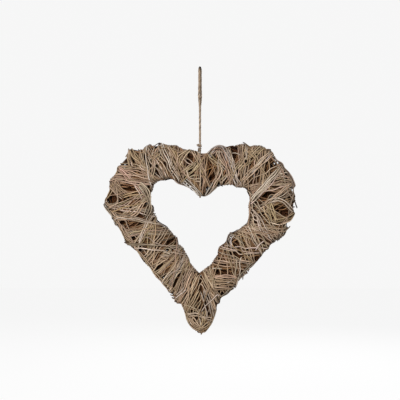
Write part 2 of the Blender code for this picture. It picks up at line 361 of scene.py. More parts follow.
def hairs(tubes, line, count, rng, reach=(0.8, 2.6), thick=0.07, out=1.05):
    """Loose fibres that stand off a line of twine."""
    p = even(line, 0.8)
    t, a, b = frames(p, (0.0, 1.0, 0.2))
    for _ in range(count):
        k = int(rng.integers(1, len(p) - 1))
        f = rng.uniform(0, 2 * math.pi)
        d = a[k] * math.cos(f) + b[k] * math.sin(f)
        along = t[k] * rng.choice([-1, 1]) * rng.uniform(0.3, 1.6)
        r = rng.uniform(*reach)
        start = p[k] + d * (out - 0.5)
        mid = start + (d + along * 0.6) * r * 0.5
        end = start + (d * rng.uniform(0.4, 1.0) + along) * r
        q = even(smooth_path([start, mid, end], 3), r / 3)
        tubes.add(q, np.linspace(thick, thick * 0.45, len(q)), 3,
                  np.array(JUTE_TONES[2]) * rng.uniform(0.8, 1.25), rng.uniform(0, 60))


loop_tubes = Tubes()
# the twine is darker at the top of the bend
plied(loop_tubes, LOOP_PATH, darkening=lambda q: 0.16 + 0.78 * np.clip((-0.6 - q[:, 2]) / 2.6, 0, 1))
loop = loop_tubes.mesh("hanging_loop_twine", JUTE)
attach(loop, "root")
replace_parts(loop, "hanging_loop")

# ------------------------------------------------- the two wires' outlines
RING = [
    ((1, -132.0), (1.5, -201.0), 0.84),
    ((33, -121.0), (24, -187.5), 0.90),
    ((68, -117.5), (44, -183.0), 0.96),
    ((108, -129.0), (63, -186.0), 1.00),
    ((136, -160.0), (74, -195.0), 1.00),
    ((148, -204.0), (75, -211.0), 1.00),
    ((139.5, -238.0), (73, -232.0), 1.00),
    ((119.5, -266.5), (54, -252.0), 0.98),
    ((92, -292.5), (38.5, -270.0), 0.96),
    ((67, -322.0), (23, -291.0), 0.92),
    ((39.5, -348.0), (9.5, -307.5), 0.84),
    ((21, -383.0), (2.2, -313.0), 0.74),
    ((0, -409.5), (0, -315.5), 0.66),
    ((-22, -384.0), (-2.2, -313.0), 0.74),
    ((-42.5, -351.5), (-9, -306.5), 0.84),
    ((-67.5, -322.5), (-20.5, -288.0), 0.92),
    ((-92.5, -292.0), (-34, -265.0), 0.96),
    ((-117, -264.5), (-51, -247.5), 0.98),
    ((-135.5, -235.5), (-68.5, -230.0), 1.00),
    ((-148, -206.0), (-75.5, -209.0), 1.00),
    ((-133, -161.0), (-74, -190.0), 1.00),
    ((-107, -130.0), (-65, -177.5), 1.00),
    ((-68, -116.5), (-49, -173.0), 0.96),
    ((-33, -121.5), (-21, -185.0), 0.90),
]


def cyclic_spline(values, n):
    v = np.asarray(values, float)
    if v.ndim == 1:
        v = v[:, None]
    m = len(v)
    chord_ = np.linalg.norm(np.roll(v, -1, 0) - v, axis=1) ** 0.5 + 1e-9
    out = []
    for k in range(m):
        p0, p1, p2, p3 = (v[(k + j) % m] for j in (-1, 0, 1, 2))
        d0, d1, d2 = chord_[(k - 1) % m], chord_[k], chord_[(k + 1) % m]
        t1 = (p1 - p0) / d0 - (p2 - p0) / (d0 + d1) + (p2 - p1) / d1
        t2 = (p2 - p1) / d1 - (p3 - p1) / (d1 + d2) + (p3 - p2) / d2
        t1, t2 = t1 * d1, t2 * d1
        for j in range(n):
            u = j / n
            out.append((2 * u**3 - 3 * u**2 + 1) * p1 + (u**3 - 2 * u**2 + u) * t1
                       + (-2 * u**3 + 3 * u**2) * p2 + (u**3 - u**2) * t2)
    return np.array(out)


# How far the turns stand out from the mean outline along each edge, in mm at
# ring positions: the bundles' bumps, and the dips where the wire lies bare.
RISE = {
    "O": [(0.1, -0.5), (0.25, -1.5), (0.4, 0), (0.55, 3.2), (0.8, 3.5), (1.0, 1), (1.12, -1), (1.27, -3.4),
          (1.5, -2), (1.75, -0.5), (2.0, 2), (2.12, -2), (2.25, -2.5), (2.38, 1.5), (2.62, 3.8), (2.88, 0.8),
          (3.0, 2.3), (3.12, -0.3), (3.38, -4.8), (3.62, -1), (3.8, -3), (4.0, -0.8), (4.2, 0.9), (4.5, 1.7),
          (4.68, -3.6), (5.0, 0.3), (5.12, -2.2), (5.25, 0.6), (5.38, -2), (5.6, 0.9), (5.88, -1.3), (6.1, -5.2),
          (6.25, 1.4), (6.5, 3.4), (6.75, 4.2), (7.0, 0), (7.25, -3), (7.38, -2.7), (7.5, 0.6), (7.75, -1),
          (8.0, 2), (8.3, 0.6), (8.55, -0.4), (8.8, 2.4), (9.12, -2), (9.25, -1.5), (9.4, 2.3), (9.55, 5.2),
          (9.75, 1.8), (10.0, 2.6), (10.12, -1), (10.3, -4.4), (10.5, -0.6), (10.62, -6.4), (10.75, -3),
          (10.9, -0.5), (11.2, 3.2), (11.5, 1.9), (11.75, 2.8), (12.0, 1.8), (12.12, -1), (12.4, 0.2),
          (12.65, 2), (12.9, 2), (13.1, -3), (13.3, -5), (13.5, -7.2), (13.6, 0.6), (13.75, 4), (13.9, 1.7),
          (14.0, -1.5), (14.12, 1), (14.5, 0.2), (14.8, -1.5), (15.0, 0.3), (15.2, 1.6), (15.42, -2.6), (15.65, 0.9),
          (16.0, -1), (16.3, -3.8), (16.5, -1), (16.88, 5), (17.0, 0.5), (17.25, -3.2), (17.45, -5), (17.75, 0.9),
          (18.0, 0.2), (18.25, -4), (18.5, -1.4), (18.8, 3.4), (19.0, -0.3), (19.15, -3.6), (19.4, -6.6), (19.6, -0.3),
          (19.75, 1.4), (20.06, -4.6), (20.3, 1.1), (20.5, -2), (20.75, -2.8), (20.9, 1), (21.0, 6), (21.12, 5.2),
          (21.25, 1), (21.42, -4.4), (21.6, 0), (21.75, 1.4), (22.0, -5.4), (22.2, 1.6), (22.5, -1),
          (22.88, 2.4), (23.1, -0.3), (23.35, -0.8), (23.5, 2.4), (23.7, 4.5), (23.88, 1)],
    "I": [(0.1, -2), (0.4, 0), (0.6, 0.6), (0.9, -0.4), (1.1, -3.6), (1.25, -4.3), (1.5, -1.5), (1.8, -1.5),
          (2.25, -2), (2.5, 0.8), (2.75, 1), (3.0, -1), (3.2, -3), (3.38, -4.5), (3.6, -1.8), (4.0, -1.6),
          (4.5, -1.2), (4.8, 0.5), (5.2, 1.2), (5.8, 0.3), (6.0, -0.4), (6.25, -4), (6.5, -2.7), (6.8, -1.8),
          (7.0, -0.6), (7.12, 0.5), (7.2, 7), (7.5, 4.5), (7.9, 0.9), (8.0, -0.6), (8.3, 3), (8.5, 4.5),
          (8.75, 1.2), (8.9, -0.9), (9.2, 0), (9.5, -1.8), (9.9, -1.2), (10.2, 0.3), (11.0, 0), (12.0, -0.6),
          (12.4, -3), (12.8, -1), (13.3, -0.8), (14.0, -0.1), (14.4, -1.5), (14.75, 0.2), (15.0, 0.6), (15.3, 1.7),
          (15.5, 0.3), (15.75, -2.4), (16.0, -0.9), (16.25, 2.4), (16.5, 0.6), (16.8, 2), (17.1, 2.8),
          (17.4, -0.7), (17.75, -2.5), (18.0, 2), (18.4, 2.8), (18.8, 2.2), (19.0, 0.3), (19.5, 0.9),
          (19.65, -1.3), (20.1, 0.9), (20.5, -0.9), (20.8, -1.5), (21.4, -1), (21.7, 0.6), (22.0, -1.2),
          (22.25, -3.7), (22.5, 0.9), (22.7, 0.3), (22.9, -1.5), (23.1, -1.6), (23.35, -5.5), (23.6, -3.6),
          (23.8, -2.4)],
}

SPAN = 64
# the turns' nearer sides stand a little further out, so the ring is drawn in
MIDDLE = np.array([0.0, -203.8])
OUT = MIDDLE + 0.996 * (cyclic_spline([r[0] for r in RING], SPAN) - MIDDLE) + np.array([0.35, 0.0])
INN = MIDDLE + 0.996 * (cyclic_spline([r[1] for r in RING], SPAN) - MIDDLE) + np.array([0.35, 0.0])
HALF_DEPTH = 24.6
DEP = cyclic_spline([r[2] for r in RING], SPAN)[:, 0] * HALF_DEPTH
NS = len(OUT)
UNIT = (OUT - INN) / np.linalg.norm(OUT - INN, axis=1)[:, None]   # from the inner edge out
SECTION_POWER = 2.0
WIRE_R, WIRE_INSET = 0.8, 3.0
R0 = 0.98               # a vine strand's usual radius
CELL = 0.6              # the height maps' cell
LUMP = 0.9              # how much of the edges' bumps the faces have


def rise_table(edge):
    k = np.array([a for a, b in RISE[edge]]) * SPAN
    v = np.array([b for a, b in RISE[edge]], float)
    k = np.concatenate([k - NS, k, k + NS])
    return np.interp(np.arange(NS), k, np.tile(v, 3))


def blurred(v, sd):
    m = int(sd * 3)
    w = np.exp(-0.5 * (np.arange(-m, m + 1) / sd) ** 2)
    w /= w.sum()
    return np.convolve(np.concatenate([v[-m:], v, v[:m]]), w, "valid")


RISES = {e: rise_table(e) for e in "OI"}
# Stretches where the wire lies bare, outside the winding. Elsewhere it gives
# way where the outline dips, so that the turns still go round it.
BARE_AT = {"O": [(20.3, 20.95), (3.2, 3.62)], "I": [(23.2, 23.48), (1.06, 1.34)]}
BARE = {}
PULL = {}
for e in "OI":
    k_ = np.arange(NS) / SPAN
    BARE[e] = np.zeros(NS, bool)
    for lo, hi in BARE_AT[e]:
        BARE[e] |= (k_ >= lo) & (k_ <= hi)
    low = np.min([np.roll(RISES[e], s) for s in range(-7, 8)], axis=0)
    PULL[e] = blurred(np.where(BARE[e], 0.0, np.clip(low + 0.8, -4.8, 0.0)), 7)
EDGE = {"O": OUT - UNIT * (WIRE_INSET - PULL["O"])[:, None],
        "I": INN + UNIT * (WIRE_INSET - PULL["I"])[:, None]}
SIGN = {"O": 1.0, "I": -1.0}


def arc(points):
    d = np.linalg.norm(np.roll(points, -1, 0) - points, axis=1)
    return np.concatenate([[0], np.cumsum(d)])


ARC = {e: arc(EDGE[e]) for e in "OI"}
TOTAL_O = ARC["O"][-1]


def at(table, k):
    """Value of a ring table at a real index."""
    k = k % NS
    i = int(k)
    f = k - i
    return table[i] * (1 - f) + table[(i + 1) % NS] * f


def arc_of(edge, k):
    return float(np.interp(k % NS, np.arange(NS + 1), ARC[edge]))


def index_of(edge, a):
    return float(np.interp(a % ARC[edge][-1], ARC[edge], np.arange(NS + 1)))


# --------------------------------------------------------- height maps (mm)
X0, Z0 = -168.0, -428.0
NX, NZ = int(336 / CELL), int(324 / CELL)


def cells(x, z):
    return ((x - X0) / CELL).astype(int), ((z - Z0) / CELL).astype(int)


def base_map(depth_cut, edge_cut):
    """Height of the body under the strands' centres, inside the outside by the cuts."""
    h = np.zeros((NX, NZ))
    a = np.linalg.norm(OUT - INN, axis=1) / 2
    mid = (OUT + INN) / 2
    for u in np.linspace(-1, 1, 221):
        p = mid + UNIT * ((a - edge_cut) * u)[:, None]
        # the bundles' bumps and dips go on over the faces
        lump = RISES["O"] * (0.5 + 0.5 * u) + RISES["I"] * (0.5 - 0.5 * u)
        y = (np.maximum(DEP - depth_cut + LUMP * lump, 3.0)
             * max(0.0, 1 - abs(u) ** SECTION_POWER) ** (1 / SECTION_POWER))
        np.maximum.at(h, cells(p[:, 0], p[:, 1]), y)
    g = h.copy()
    for di in (-1, 0, 1):
        for dj in (-1, 0, 1):
            g = np.maximum(g, np.roll(np.roll(h, di, 0), dj, 1))
    return np.where(h > 0, h, g)


def sample(h, x, z):
    i = (x - X0) / CELL
    j = (z - Z0) / CELL
    i0 = np.clip(i.astype(int), 0, NX - 2)
    j0 = np.clip(j.astype(int), 0, NZ - 2)
    fi, fj = i - i0, j - j0
    return ((h[i0, j0] * (1 - fi) + h[i0 + 1, j0] * fi) * (1 - fj)
            + (h[i0, j0 + 1] * (1 - fi) + h[i0 + 1, j0 + 1] * fi) * fj)


BAND = base_map(0.0, 2.0) > 0
KR = 4
_o = np.arange(-KR, KR + 1) * CELL
_d2 = _o[:, None] ** 2 + _o[None, :] ** 2
KERNEL = np.sqrt(np.maximum((2 * R0) ** 2 - _d2, 0))
OUTSIDE = np.where(_d2 < (2 * R0) ** 2, 0.0, -99.0)


class Maps:
    """What the next strand rests on: heights on both faces, and how far out the
    turns over each wire have come."""

    def __init__(self, depth_cut, edge_cut, pile_depth):
        b = base_map(depth_cut, edge_cut)
        self.pile_depth = pile_depth         # how soon a pile of crossings stops growing
        self.base = b
        self.h = [b.copy(), b.copy()]         # front, back
        self.e = {k: np.full(int(ARC[k][-1] / CELL) + 1, WIRE_R + R0) for k in "OI"}

    def most(self, edge, k):
        return max(0.8, WIRE_R + R0 + at(RISES[edge], k) - at(PULL[edge], k))

    def reach(self, edge, k, full):
        """How far out a turn lies: on what is there, or nearly at the outline."""
        e = self.e[edge]
        most = self.most(edge, k)
        return min(most, max(float(e[int(arc_of(edge, k) / CELL) % len(e)]), most * full))

    def pile(self, edge, k, reach):
        e = self.e[edge]
        i = int(arc_of(edge, k) / CELL)
        n = int(2 * R0 / CELL) + 1
        for d in range(-n, n + 1):
            t = (2 * R0) ** 2 - (d * CELL) ** 2
            if t > 0:
                c = (i + d) % len(e)
                e[c] = max(e[c], reach + 0.75 * math.sqrt(t))


def upper_hull(c, y):
    hull = []
    for p in zip(c, y):
        while len(hull) >= 2:
            (x1, y1), (x2, y2) = hull[-2], hull[-1]
            if (x2 - x1) * (p[1] - y1) - (y2 - y1) * (p[0] - x1) >= 0:
                hull.pop()
            else:
                break
        hull.append(p)
    return np.array(hull)


WIDTH = np.linalg.norm(OUT - INN, axis=1)
LOW = R0 - 0.2 - RISES["I"]
HIGH = WIDTH + RISES["O"] - R0 + 0.2
RK = np.arange(0, NS, 4)


def kept_in(xz):
    """Points brought back inside the band's own outline."""
    d = xz[:, None, :] - INN[None, RK, :]
    u = (d * UNIT[None, RK, :]).sum(2)
    v = np.abs(d[:, :, 0] * UNIT[None, RK, 1] - d[:, :, 1] * UNIT[None, RK, 0])
    v = v + np.maximum(0, -u - 14) * 9 + np.maximum(0, u - WIDTH[None, RK] - 14) * 9
    k = np.argmin(v, 1)
    r = np.arange(len(xz))
    u = u[r, k]
    w = np.clip(u, LOW[RK[k]], HIGH[RK[k]])
    return xz + UNIT[RK[k]] * (w - u)[:, None]


def route_of(p0, p1, bow, wave, phase, keep=False):
    """Front-view route between two points: nearly straight, a little bowed."""
    L = float(np.linalg.norm(p1 - p0))
    n = max(8, int(L / 1.0))
    q = np.linspace(0, 1, n + 1)
    d = (p1 - p0) / L
    side = np.array([-d[1], d[0]])
    off = (bow * 4 * q * (1 - q)
           + wave * np.sin(math.pi * q) * (np.sin(2 * math.pi * (q * L / 36.0 + phase))
                                           + 0.40 * np.sin(2 * math.pi * (q * L / 15.0 + 3.3 * phase))))
    xz = p0 + d * (q * L)[:, None] + side * off[:, None]
    if keep:
        xz[1:-1] = kept_in(xz[1:-1])
    return xz, np.concatenate([[0], np.cumsum(np.linalg.norm(np.diff(xz, axis=0), axis=1))])


def lay(maps, face, xz, c, radius=R0, sunk=None):
    """Lays one crossing over what is there, taut, and adds it to the map."""
    h = maps.h[face]
    under = sample(h, xz[:, 0], xz[:, 1])
    y = np.maximum(under, 0.0) + (radius - R0)
    if sunk is None:
        y[0] = y[-1] = 0.0
    else:
        y[0] -= sunk
        y[-1] -= sunk
    hull = upper_hull(c, y)
    yy = np.interp(c, hull[:, 0], hull[:, 1])
    base = sample(maps.base, xz[:, 0], xz[:, 1])
    soft = np.exp(-np.maximum(yy - base, 0) / maps.pile_depth)
    ii, jj = cells(xz[:, 0], xz[:, 1])
    for i, j, v, g in zip(ii, jj, yy, soft):
        if KR <= i < NX - KR and KR <= j < NZ - KR:
            w = h[i - KR:i + KR + 1, j - KR:j + KR + 1]
            np.maximum(w, v + KERNEL * g + OUTSIDE, out=w)
    return yy


# ------------------------------------------------------------- the strands
TONES = {
    "tan": srgb(142, 121, 98), "pink": srgb(141, 118, 99), "ochre": srgb(140, 120, 92),
    "grey": srgb(124, 110, 95), "light": srgb(155, 136, 116), "bright": srgb(178, 159, 139), "ash": srgb(133, 123, 110),
    # deep, the inner strands' tone, is painted shade: made darker to stand for the shade deep in the winding
    "brown": srgb(106, 85, 63), "deep": srgb(84, 61, 38),
}
SHARE = (("tan", 0.36), ("pink", 0.22), ("ochre", 0.14), ("grey", 0.13), ("light", 0.08), ("brown", 0.07))


def tone_colour(tone, rng, spread=0.10):
    c = np.array(TONES[tone]) * (1 + rng.normal(0, spread))
    return np.clip(c * (1 + rng.normal(0, 0.026, 3)), 0.01, 0.9)


def any_tone(rng):
    names = [n for n, w in SHARE]
    return str(rng.choice(names, p=[w for n, w in SHARE]))


class Strand:
    __slots__ = ("pts", "radius", "tint", "kind")

    def __init__(self, pts, radius, tint, kind):
        self.pts, self.radius, self.tint, self.kind = pts, radius, tint, kind


strands = []


def rounded(p, sd=1.6):
    """The strand's own stiffness: corners bend over a few millimetres."""
    m = 4
    w = np.exp(-0.5 * (np.arange(-m, m + 1) / sd) ** 2)
    w /= w.sum()
    q = np.vstack([np.repeat(p[:1], m, 0), p, np.repeat(p[-1:], m, 0)])
    out = np.column_stack([np.convolve(q[:, c], w, "valid") for c in range(3)])
    out[0], out[-1] = p[0], p[-1]
    return out


def edge_point(maps, edge, k, full=0.0):
    r = maps.reach(edge, k, full)
    maps.pile(edge, k, r)
    return at(EDGE[edge], k) + SIGN[edge] * at(UNIT, k) * (r + 0.3)


def add_line(parts, radius, tint, kind):
    """parts are (xz, c, y, face) in turn."""
    line = []
    for xz, c, y, face in parts:
        p = np.column_stack([xz[:, 0], y * (-1.0 if face == 0 else 1.0), xz[:, 1]])
        line.append(p if not line else p[1:])
    strands.append(Strand(rounded(np.vstack(line)), radius, tint, kind))


FULL = {"under": 0.0, "over": 0.8, "top": 0.9, "bent": 0.9, "stray": 1.0}


def wind(maps, anchors, radius, tint, kind, rng, face=0, bows=None, wave=0.45):
    """One strand through (edge, index) anchors, on the two faces in turn."""
    ends = [edge_point(maps, e, k, FULL[kind] * rng.uniform(0.8, 1.0)) for e, k in anchors]
    parts = []
    ph, wv = rng.uniform(0, 1), rng.uniform(0.3, 1.0) * wave
    for a in range(len(ends) - 1):
        if np.linalg.norm(ends[a + 1] - ends[a]) < 4.0:
            face = 1 - face
            continue
        bow = rng.normal(0, 0.6) + (bows[a] if bows else 0.0)
        if rng.random() < 0.35:
            ph = rng.uniform(0, 1)
            wv = rng.uniform(0.3, 1.0) * wave
        xz, c = route_of(ends[a], ends[a + 1], bow, wv, ph + rng.normal(0, 0.04), keep=True)
        y = lay(maps, face, xz, c, radius)
        if kind in ("under", "over"):
            y = y * (1 - 0.45 * under_opening(face, xz, 2.2, 0.0))
        if kind != "top":
            y = np.minimum(y, sample(FULL_BODY, xz[:, 0], xz[:, 1]) + 4.2)
        parts.append((xz, c, y, face))
        face = 1 - face
    if parts:
        add_line(parts, radius, tint, kind)


# Places where the upper strands part and the dark inside shows (x, z, radius).
VOIDS = [
    (-107, -186, 3.5), (-131.4, -203.8, 5.2), (-119, -237.5, 2.5), (-115, -238, 2.3), (-78.5, -183, 1.7),
    (-81.5, -209, 1.7), (-91, -239.5, 1.7), (-100.5, -262, 2.6), (-91, -279.5, 1.9), (-74.5, -151.5, 1.5),
    (-65.5, -152, 1.8), (-65, -162, 1.9), (-52.5, -149, 1.5), (-66.5, -123.5, 1.8), (-48.5, -268.5, 2.6),
    (-49.5, -280, 2), (-62.5, -305.5, 2.4), (-58, -302, 1.7), (-32.5, -318.5, 1.5), (-36, -325.5, 2),
    (-38.5, -331.5, 1.7), (1.5, -327, 1.5), (1.5, -335, 1.5), (-1, -355, 1.5), (-12.5, -372.5, 1.7),
    (11.5, -369, 1.7), (13.5, -377.5, 1.7), (-4.5, -383.5, 1.7), (27, -314.5, 2.3), (54, -284, 1.7),
    (61, -283.5, 1.7), (60, -290, 1.7), (52.5, -272.5, 2.1), (58, -269, 1.5), (85.5, -292, 2.6),
    (65, -316.5, 1.5), (33, -345.5, 2.4), (29, -342.5, 1.7), (51.5, -126, 3), (52.5, -138, 2.6),
    (69.5, -145, 1.9), (18, -169, 3.2), (-15, -139, 2.6), (-17.5, -144.5, 1.5), (-14.5, -159, 1.5),
    (3, -174.5, 1.5), (102, -196, 3.2), (108, -198.5, 1.5), (114.5, -150, 1.8), (125, -223, 3.2),
    (113.5, -215.5, 1.5), (130, -225.5, 2.4), (95.5, -224, 1.5), (84, -231, 1.7),
    (85.5, -238, 1.5), (132.5, -241, 1.7), (92, -264.5, 1.7), (111, -267, 1.5), (86.5, -160.5, 1.5),
    (83, -177.5, 1.5), (59.5, -170.5, 1.5), (131, -164.5, 1.5),
]
OPEN_VOIDS = [
    (139.5, -186.5, 3.1), (145, -211, 2.5), (115.5, -144.5, 1.9), (-117, -151.5, 3.2), (12.5, -186, 2.2),
    (8, -190.5, 1.4), (-29.5, -177.5, 2.6), (-21, -181, 2.1), (-15.5, -182.5, 1.4),
]
# Seen from behind there are as many, in other places.
_vr = np.random.default_rng(23)
BACK_VOIDS = []
for _ in range(46):
    k_ = _vr.uniform(0, NS)
    f_ = _vr.uniform(0.22, 0.82)
    p_ = at(INN, k_) * (1 - f_) + at(OUT, k_) * f_
    BACK_VOIDS.append((p_[0], p_[1], _vr.uniform(1.8, 4.6)))
HOLES = [np.array(VOIDS + OPEN_VOIDS), np.array(BACK_VOIDS + OPEN_VOIDS)]


def open_here(face, xz, margin=0.9):
    v = HOLES[face]
    d = np.hypot(xz[:, None, 0] - v[None, :, 0], xz[:, None, 1] - v[None, :, 1])
    return bool((d < v[None, :, 2] + margin).any())


def through(xz, margin=0.7):
    """Whether a line crosses one of the places that are open right through."""
    v = np.array(OPEN_VOIDS)
    d = np.hypot(xz[:, None, 0] - v[None, :, 0], xz[:, None, 1] - v[None, :, 1])
    return bool((d < v[None, :, 2] + margin).any())


def covers_opening(face, xz, share, least=2.2):
    """Whether a line would cover one of the larger openings."""
    v = HOLES[face]
    v = v[v[:, 2] >= least]
    d = np.hypot(xz[:, None, 0] - v[None, :, 0], xz[:, None, 1] - v[None, :, 1])
    return bool((d < v[None, :, 2] * share).any())


def under_opening(face, xz, least=2.2, grow=1.6):
    """How far a line is under one of the larger openings, 0 to 1."""
    v = HOLES[face]
    v = v[v[:, 2] >= least]
    d = np.hypot(xz[:, None, 0] - v[None, :, 0], xz[:, None, 1] - v[None, :, 1]) / (v[None, :, 2] + grow)
    return np.exp(-np.min(d, axis=1) ** 4)


def on_band(xz):
    q = xz[3:-3]
    if len(q) == 0:
        return True
    i, j = cells(q[:, 0], q[:, 1])
    return bool(BAND[np.clip(i, 0, NX - 1), np.clip(j, 0, NZ - 1)].all())


def off_bare(edge, k, rng):
    """Moves a turn off a stretch of wire that lies bare."""
    i = int(k) % NS
    if not BARE[edge][i]:
        return k
    for d in range(1, 40):
        for s in (d, -d):
            if not BARE[edge][(i + s) % NS]:
                return (i + s + (rng.uniform(0, 5) if s > 0 else -rng.uniform(0, 5))) % NS
    return k


def crossing(ko, ki, bow=0.0, e1="O", e2="I"):
    return route_of(at(EDGE[e1], ko), at(EDGE[e2], ki), bow, 0.0, 0.0)[0]


def choose(maps, rng, lean_sd, across=0.8, tries=7, faces=(0, 1), holes=True):
    """A place for a bundle: the least covered of a few, clear of the openings."""
    best = None
    for _ in range(tries * 3):
        s = rng.uniform(0, TOTAL_O)
        k = off_bare("O", index_of("O", s), rng)
        bow = rng.normal(0, 4.0)
        if rng.random() < across:
            k2 = off_bare("I", index_of("I", arc_of("I", k) + rng.normal(0, lean_sd) * 0.6), rng)
            e2 = "I"
        else:
            d = rng.uniform(34, 78) * rng.choice([-1, 1])
            k2 = off_bare("O", index_of("O", s + d), rng)
            e2 = "O"
            bow = 0.0
        xz = crossing(k, k2, bow, "O", e2)
        if e2 == "O":                     # bows inward, over the face
            m = xz[len(xz) // 2]
            dd = xz[-1] - xz[0]
            side = np.array([-dd[1], dd[0]]) / np.linalg.norm(dd)
            inward = -at(UNIT, (k + ((k2 - k + NS / 2) % NS - NS / 2) / 2) % NS)
            bow = rng.uniform(0, 9) * (1 if side @ inward > 0 else -1)
            xz = crossing(k, k2, bow, "O", e2)
        if not on_band(xz):
            continue
        if holes and any(open_here(f, xz) for f in faces):
            continue
        score = sum(float(np.mean(sample(maps.h[f], xz[:, 0], xz[:, 1]) - sample(maps.base, xz[:, 0], xz[:, 1])))
                    for f in faces) / len(faces)
        if best is None or score < best[0]:
            best = (score, k, k2, e2, bow)
        tries -= 1
        if tries <= 0:
            break
    return best


def bundle(maps, rng, turns, lean_sd, kind, across=0.8, tries=7, wave=0.45, first=0):
    """A strand wound a few times side by side."""
    got = choose(maps, rng, lean_sd, across, tries)
    if got is None:
        return 0
    _, k, k2, e2, bow = got
    pitch = rng.uniform(2.1, 2.8)
    step_o = pitch * rng.choice([-1, 1])
    step_i = step_o * (0.62 if e2 == "I" else rng.choice([-1.0, 1.0]))
    a, b = arc_of("O", k), arc_of(e2, k2)
    anchors, bows = [], []
    for t in range(turns):
        ka = off_bare("O", index_of("O", a + step_o * t + rng.normal(0, 0.5)), rng)
        kb = off_bare(e2, index_of(e2, b + step_i * t + rng.normal(0, 0.7)), rng)
        xz = crossing(ka, kb, bow, "O", e2)
        if t and (open_here(0, xz) or not on_band(xz)):
            break
        anchors += [("O", ka), (e2, kb)]
        bows += [bow, -bow * 0.6]
    back = 6.0 if turns > 1 else 26.0
    for _ in range(6):
        kz = off_bare("O", index_of("O", a + step_o * (t + 1) + rng.normal(0, back)), rng)
        xz = crossing(kz, anchors[-1][1], 0.0, "O", e2)
        if on_band(xz) and not through(xz):
            anchors.append(("O", kz))
            break
    tone = any_tone(rng)
    thick = rng.uniform(0.62, 0.9) if kind == "stray" else rng.uniform(0.82, 1.16)
    wind(maps, anchors, R0 * thick, tone_colour(tone, rng), kind, rng,
         face=first, bows=bows, wave=wave)
    return len(anchors)


def layer(maps, seed, coverage, kind, most_turns, lean_sd, across=0.8, wave=0.45):
    rng = np.random.default_rng(seed)
    need = TOTAL_O * coverage / 2.4
    done = 0
    misses = 0
    while done < need and misses < 400:
        turns = int(rng.integers(1, most_turns + 1))
        n = bundle(maps, rng, turns, lean_sd, kind, across, wave=wave)
        if n:
            done += turns
        else:
            misses += 1


def clear_of_openings(face):
    """Cells well inside the band and clear of the openings."""
    x = X0 + (np.arange(NX) + 0.5) * CELL
    z = Z0 + (np.arange(NZ) + 0.5) * CELL
    free = BAND.copy()
    for vx, vz, vr in HOLES[face]:
        free &= (x[:, None] - vx) ** 2 + (z[None, :] - vz) ** 2 > (vr + 1.4) ** 2
    return free


def mend(maps, level, seed, most, room=1.9, faces=(0, 1), kind="under"):
    """Single turns over any place the layers have left below a level."""
    rng = np.random.default_rng(seed)
    n = int(room / CELL)
    disc = [(i, j) for i in range(-n, n + 1) for j in range(-n, n + 1) if i * i + j * j <= n * n + 1]
    for f in faces:
        free = clear_of_openings(f)
        for _ in range(most):
            bare = free & (maps.h[f] <= level[f])
            core = bare.copy()
            for i, j in disc:
                core &= np.roll(np.roll(bare, i, 0), j, 1)
            spots = np.argwhere(core)
            if not len(spots):
                break
            i, j = spots[rng.integers(len(spots))]
            p = np.array([X0 + (i + 0.5) * CELL, Z0 + (j + 0.5) * CELL])
            k = int(np.argmin(np.linalg.norm((OUT + INN) / 2 - p, axis=1)))
            best = None
            for _ in range(9):
                a = rng.normal(0, 0.42)
                u = UNIT[k]
                d = np.array([u[0] * math.cos(a) - u[1] * math.sin(a), u[0] * math.sin(a) + u[1] * math.cos(a)])
                hit = leaves_band(p, d, 0.0, 0.0)
                if hit is None:
                    continue
                (t0, e0, k0), (t1, e1, k1) = hit
                if e0 == e1 or t1 - t0 < 12 or BARE[e0][int(k0) % NS] or BARE[e1][int(k1) % NS]:
                    continue
                xz = crossing(k0, k1, 0.0, e0, e1)
                if not on_band(xz) or open_here(f, xz, 0.3):
                    continue
                ii, jj = cells(xz[:, 0], xz[:, 1])
                score = int(bare[ii, jj].sum())
                if best is None or score > best[0]:
                    best = (score, e0, k0, e1, k1)
            tint = tone_colour(any_tone(rng), rng)
            if best is not None:
                _, e0, k0, e1, k1 = best
                if e0 == "I":
                    e0, k0, e1, k1 = e1, k1, e0, k0
                last = index_of("O", arc_of("O", k0) + rng.normal(0, 9))
                xz = crossing(last, k1)
                anchors = [(e0, k0), (e1, k1)]
                if on_band(xz) and not through(xz):
                    anchors.append(("O", last))
                wind(maps, anchors, R0 * rng.uniform(0.86, 1.12), tint, kind, rng, face=f, wave=1.2)
            else:
                a = rng.normal(0, 0.5)
                u = UNIT[k]
                d = np.array([u[0] * math.cos(a) - u[1] * math.sin(a), u[0] * math.sin(a) + u[1] * math.cos(a)])
                half = rng.uniform(7, 13)
                ends = kept_in(np.array([p - d * half, p + d * half]))
                if np.linalg.norm(ends[1] - ends[0]) < 6.0:
                    free[max(i - 2, 0):i + 3, max(j - 2, 0):j + 3] = False
                    continue
                xz, c = route_of(ends[0], ends[1], rng.normal(0, 1.0), 0.8, rng.uniform(0, 1), keep=True)
                if open_here(f, xz, 0.0):
                    free[max(i - 2, 0):i + 3, max(j - 2, 0):j + 3] = False
                    continue
                y = lay(maps, f, xz, c, R0, sunk=1.6)
                add_line([(xz, c, y, f)], R0 * rng.uniform(0.86, 1.12), tint, kind)


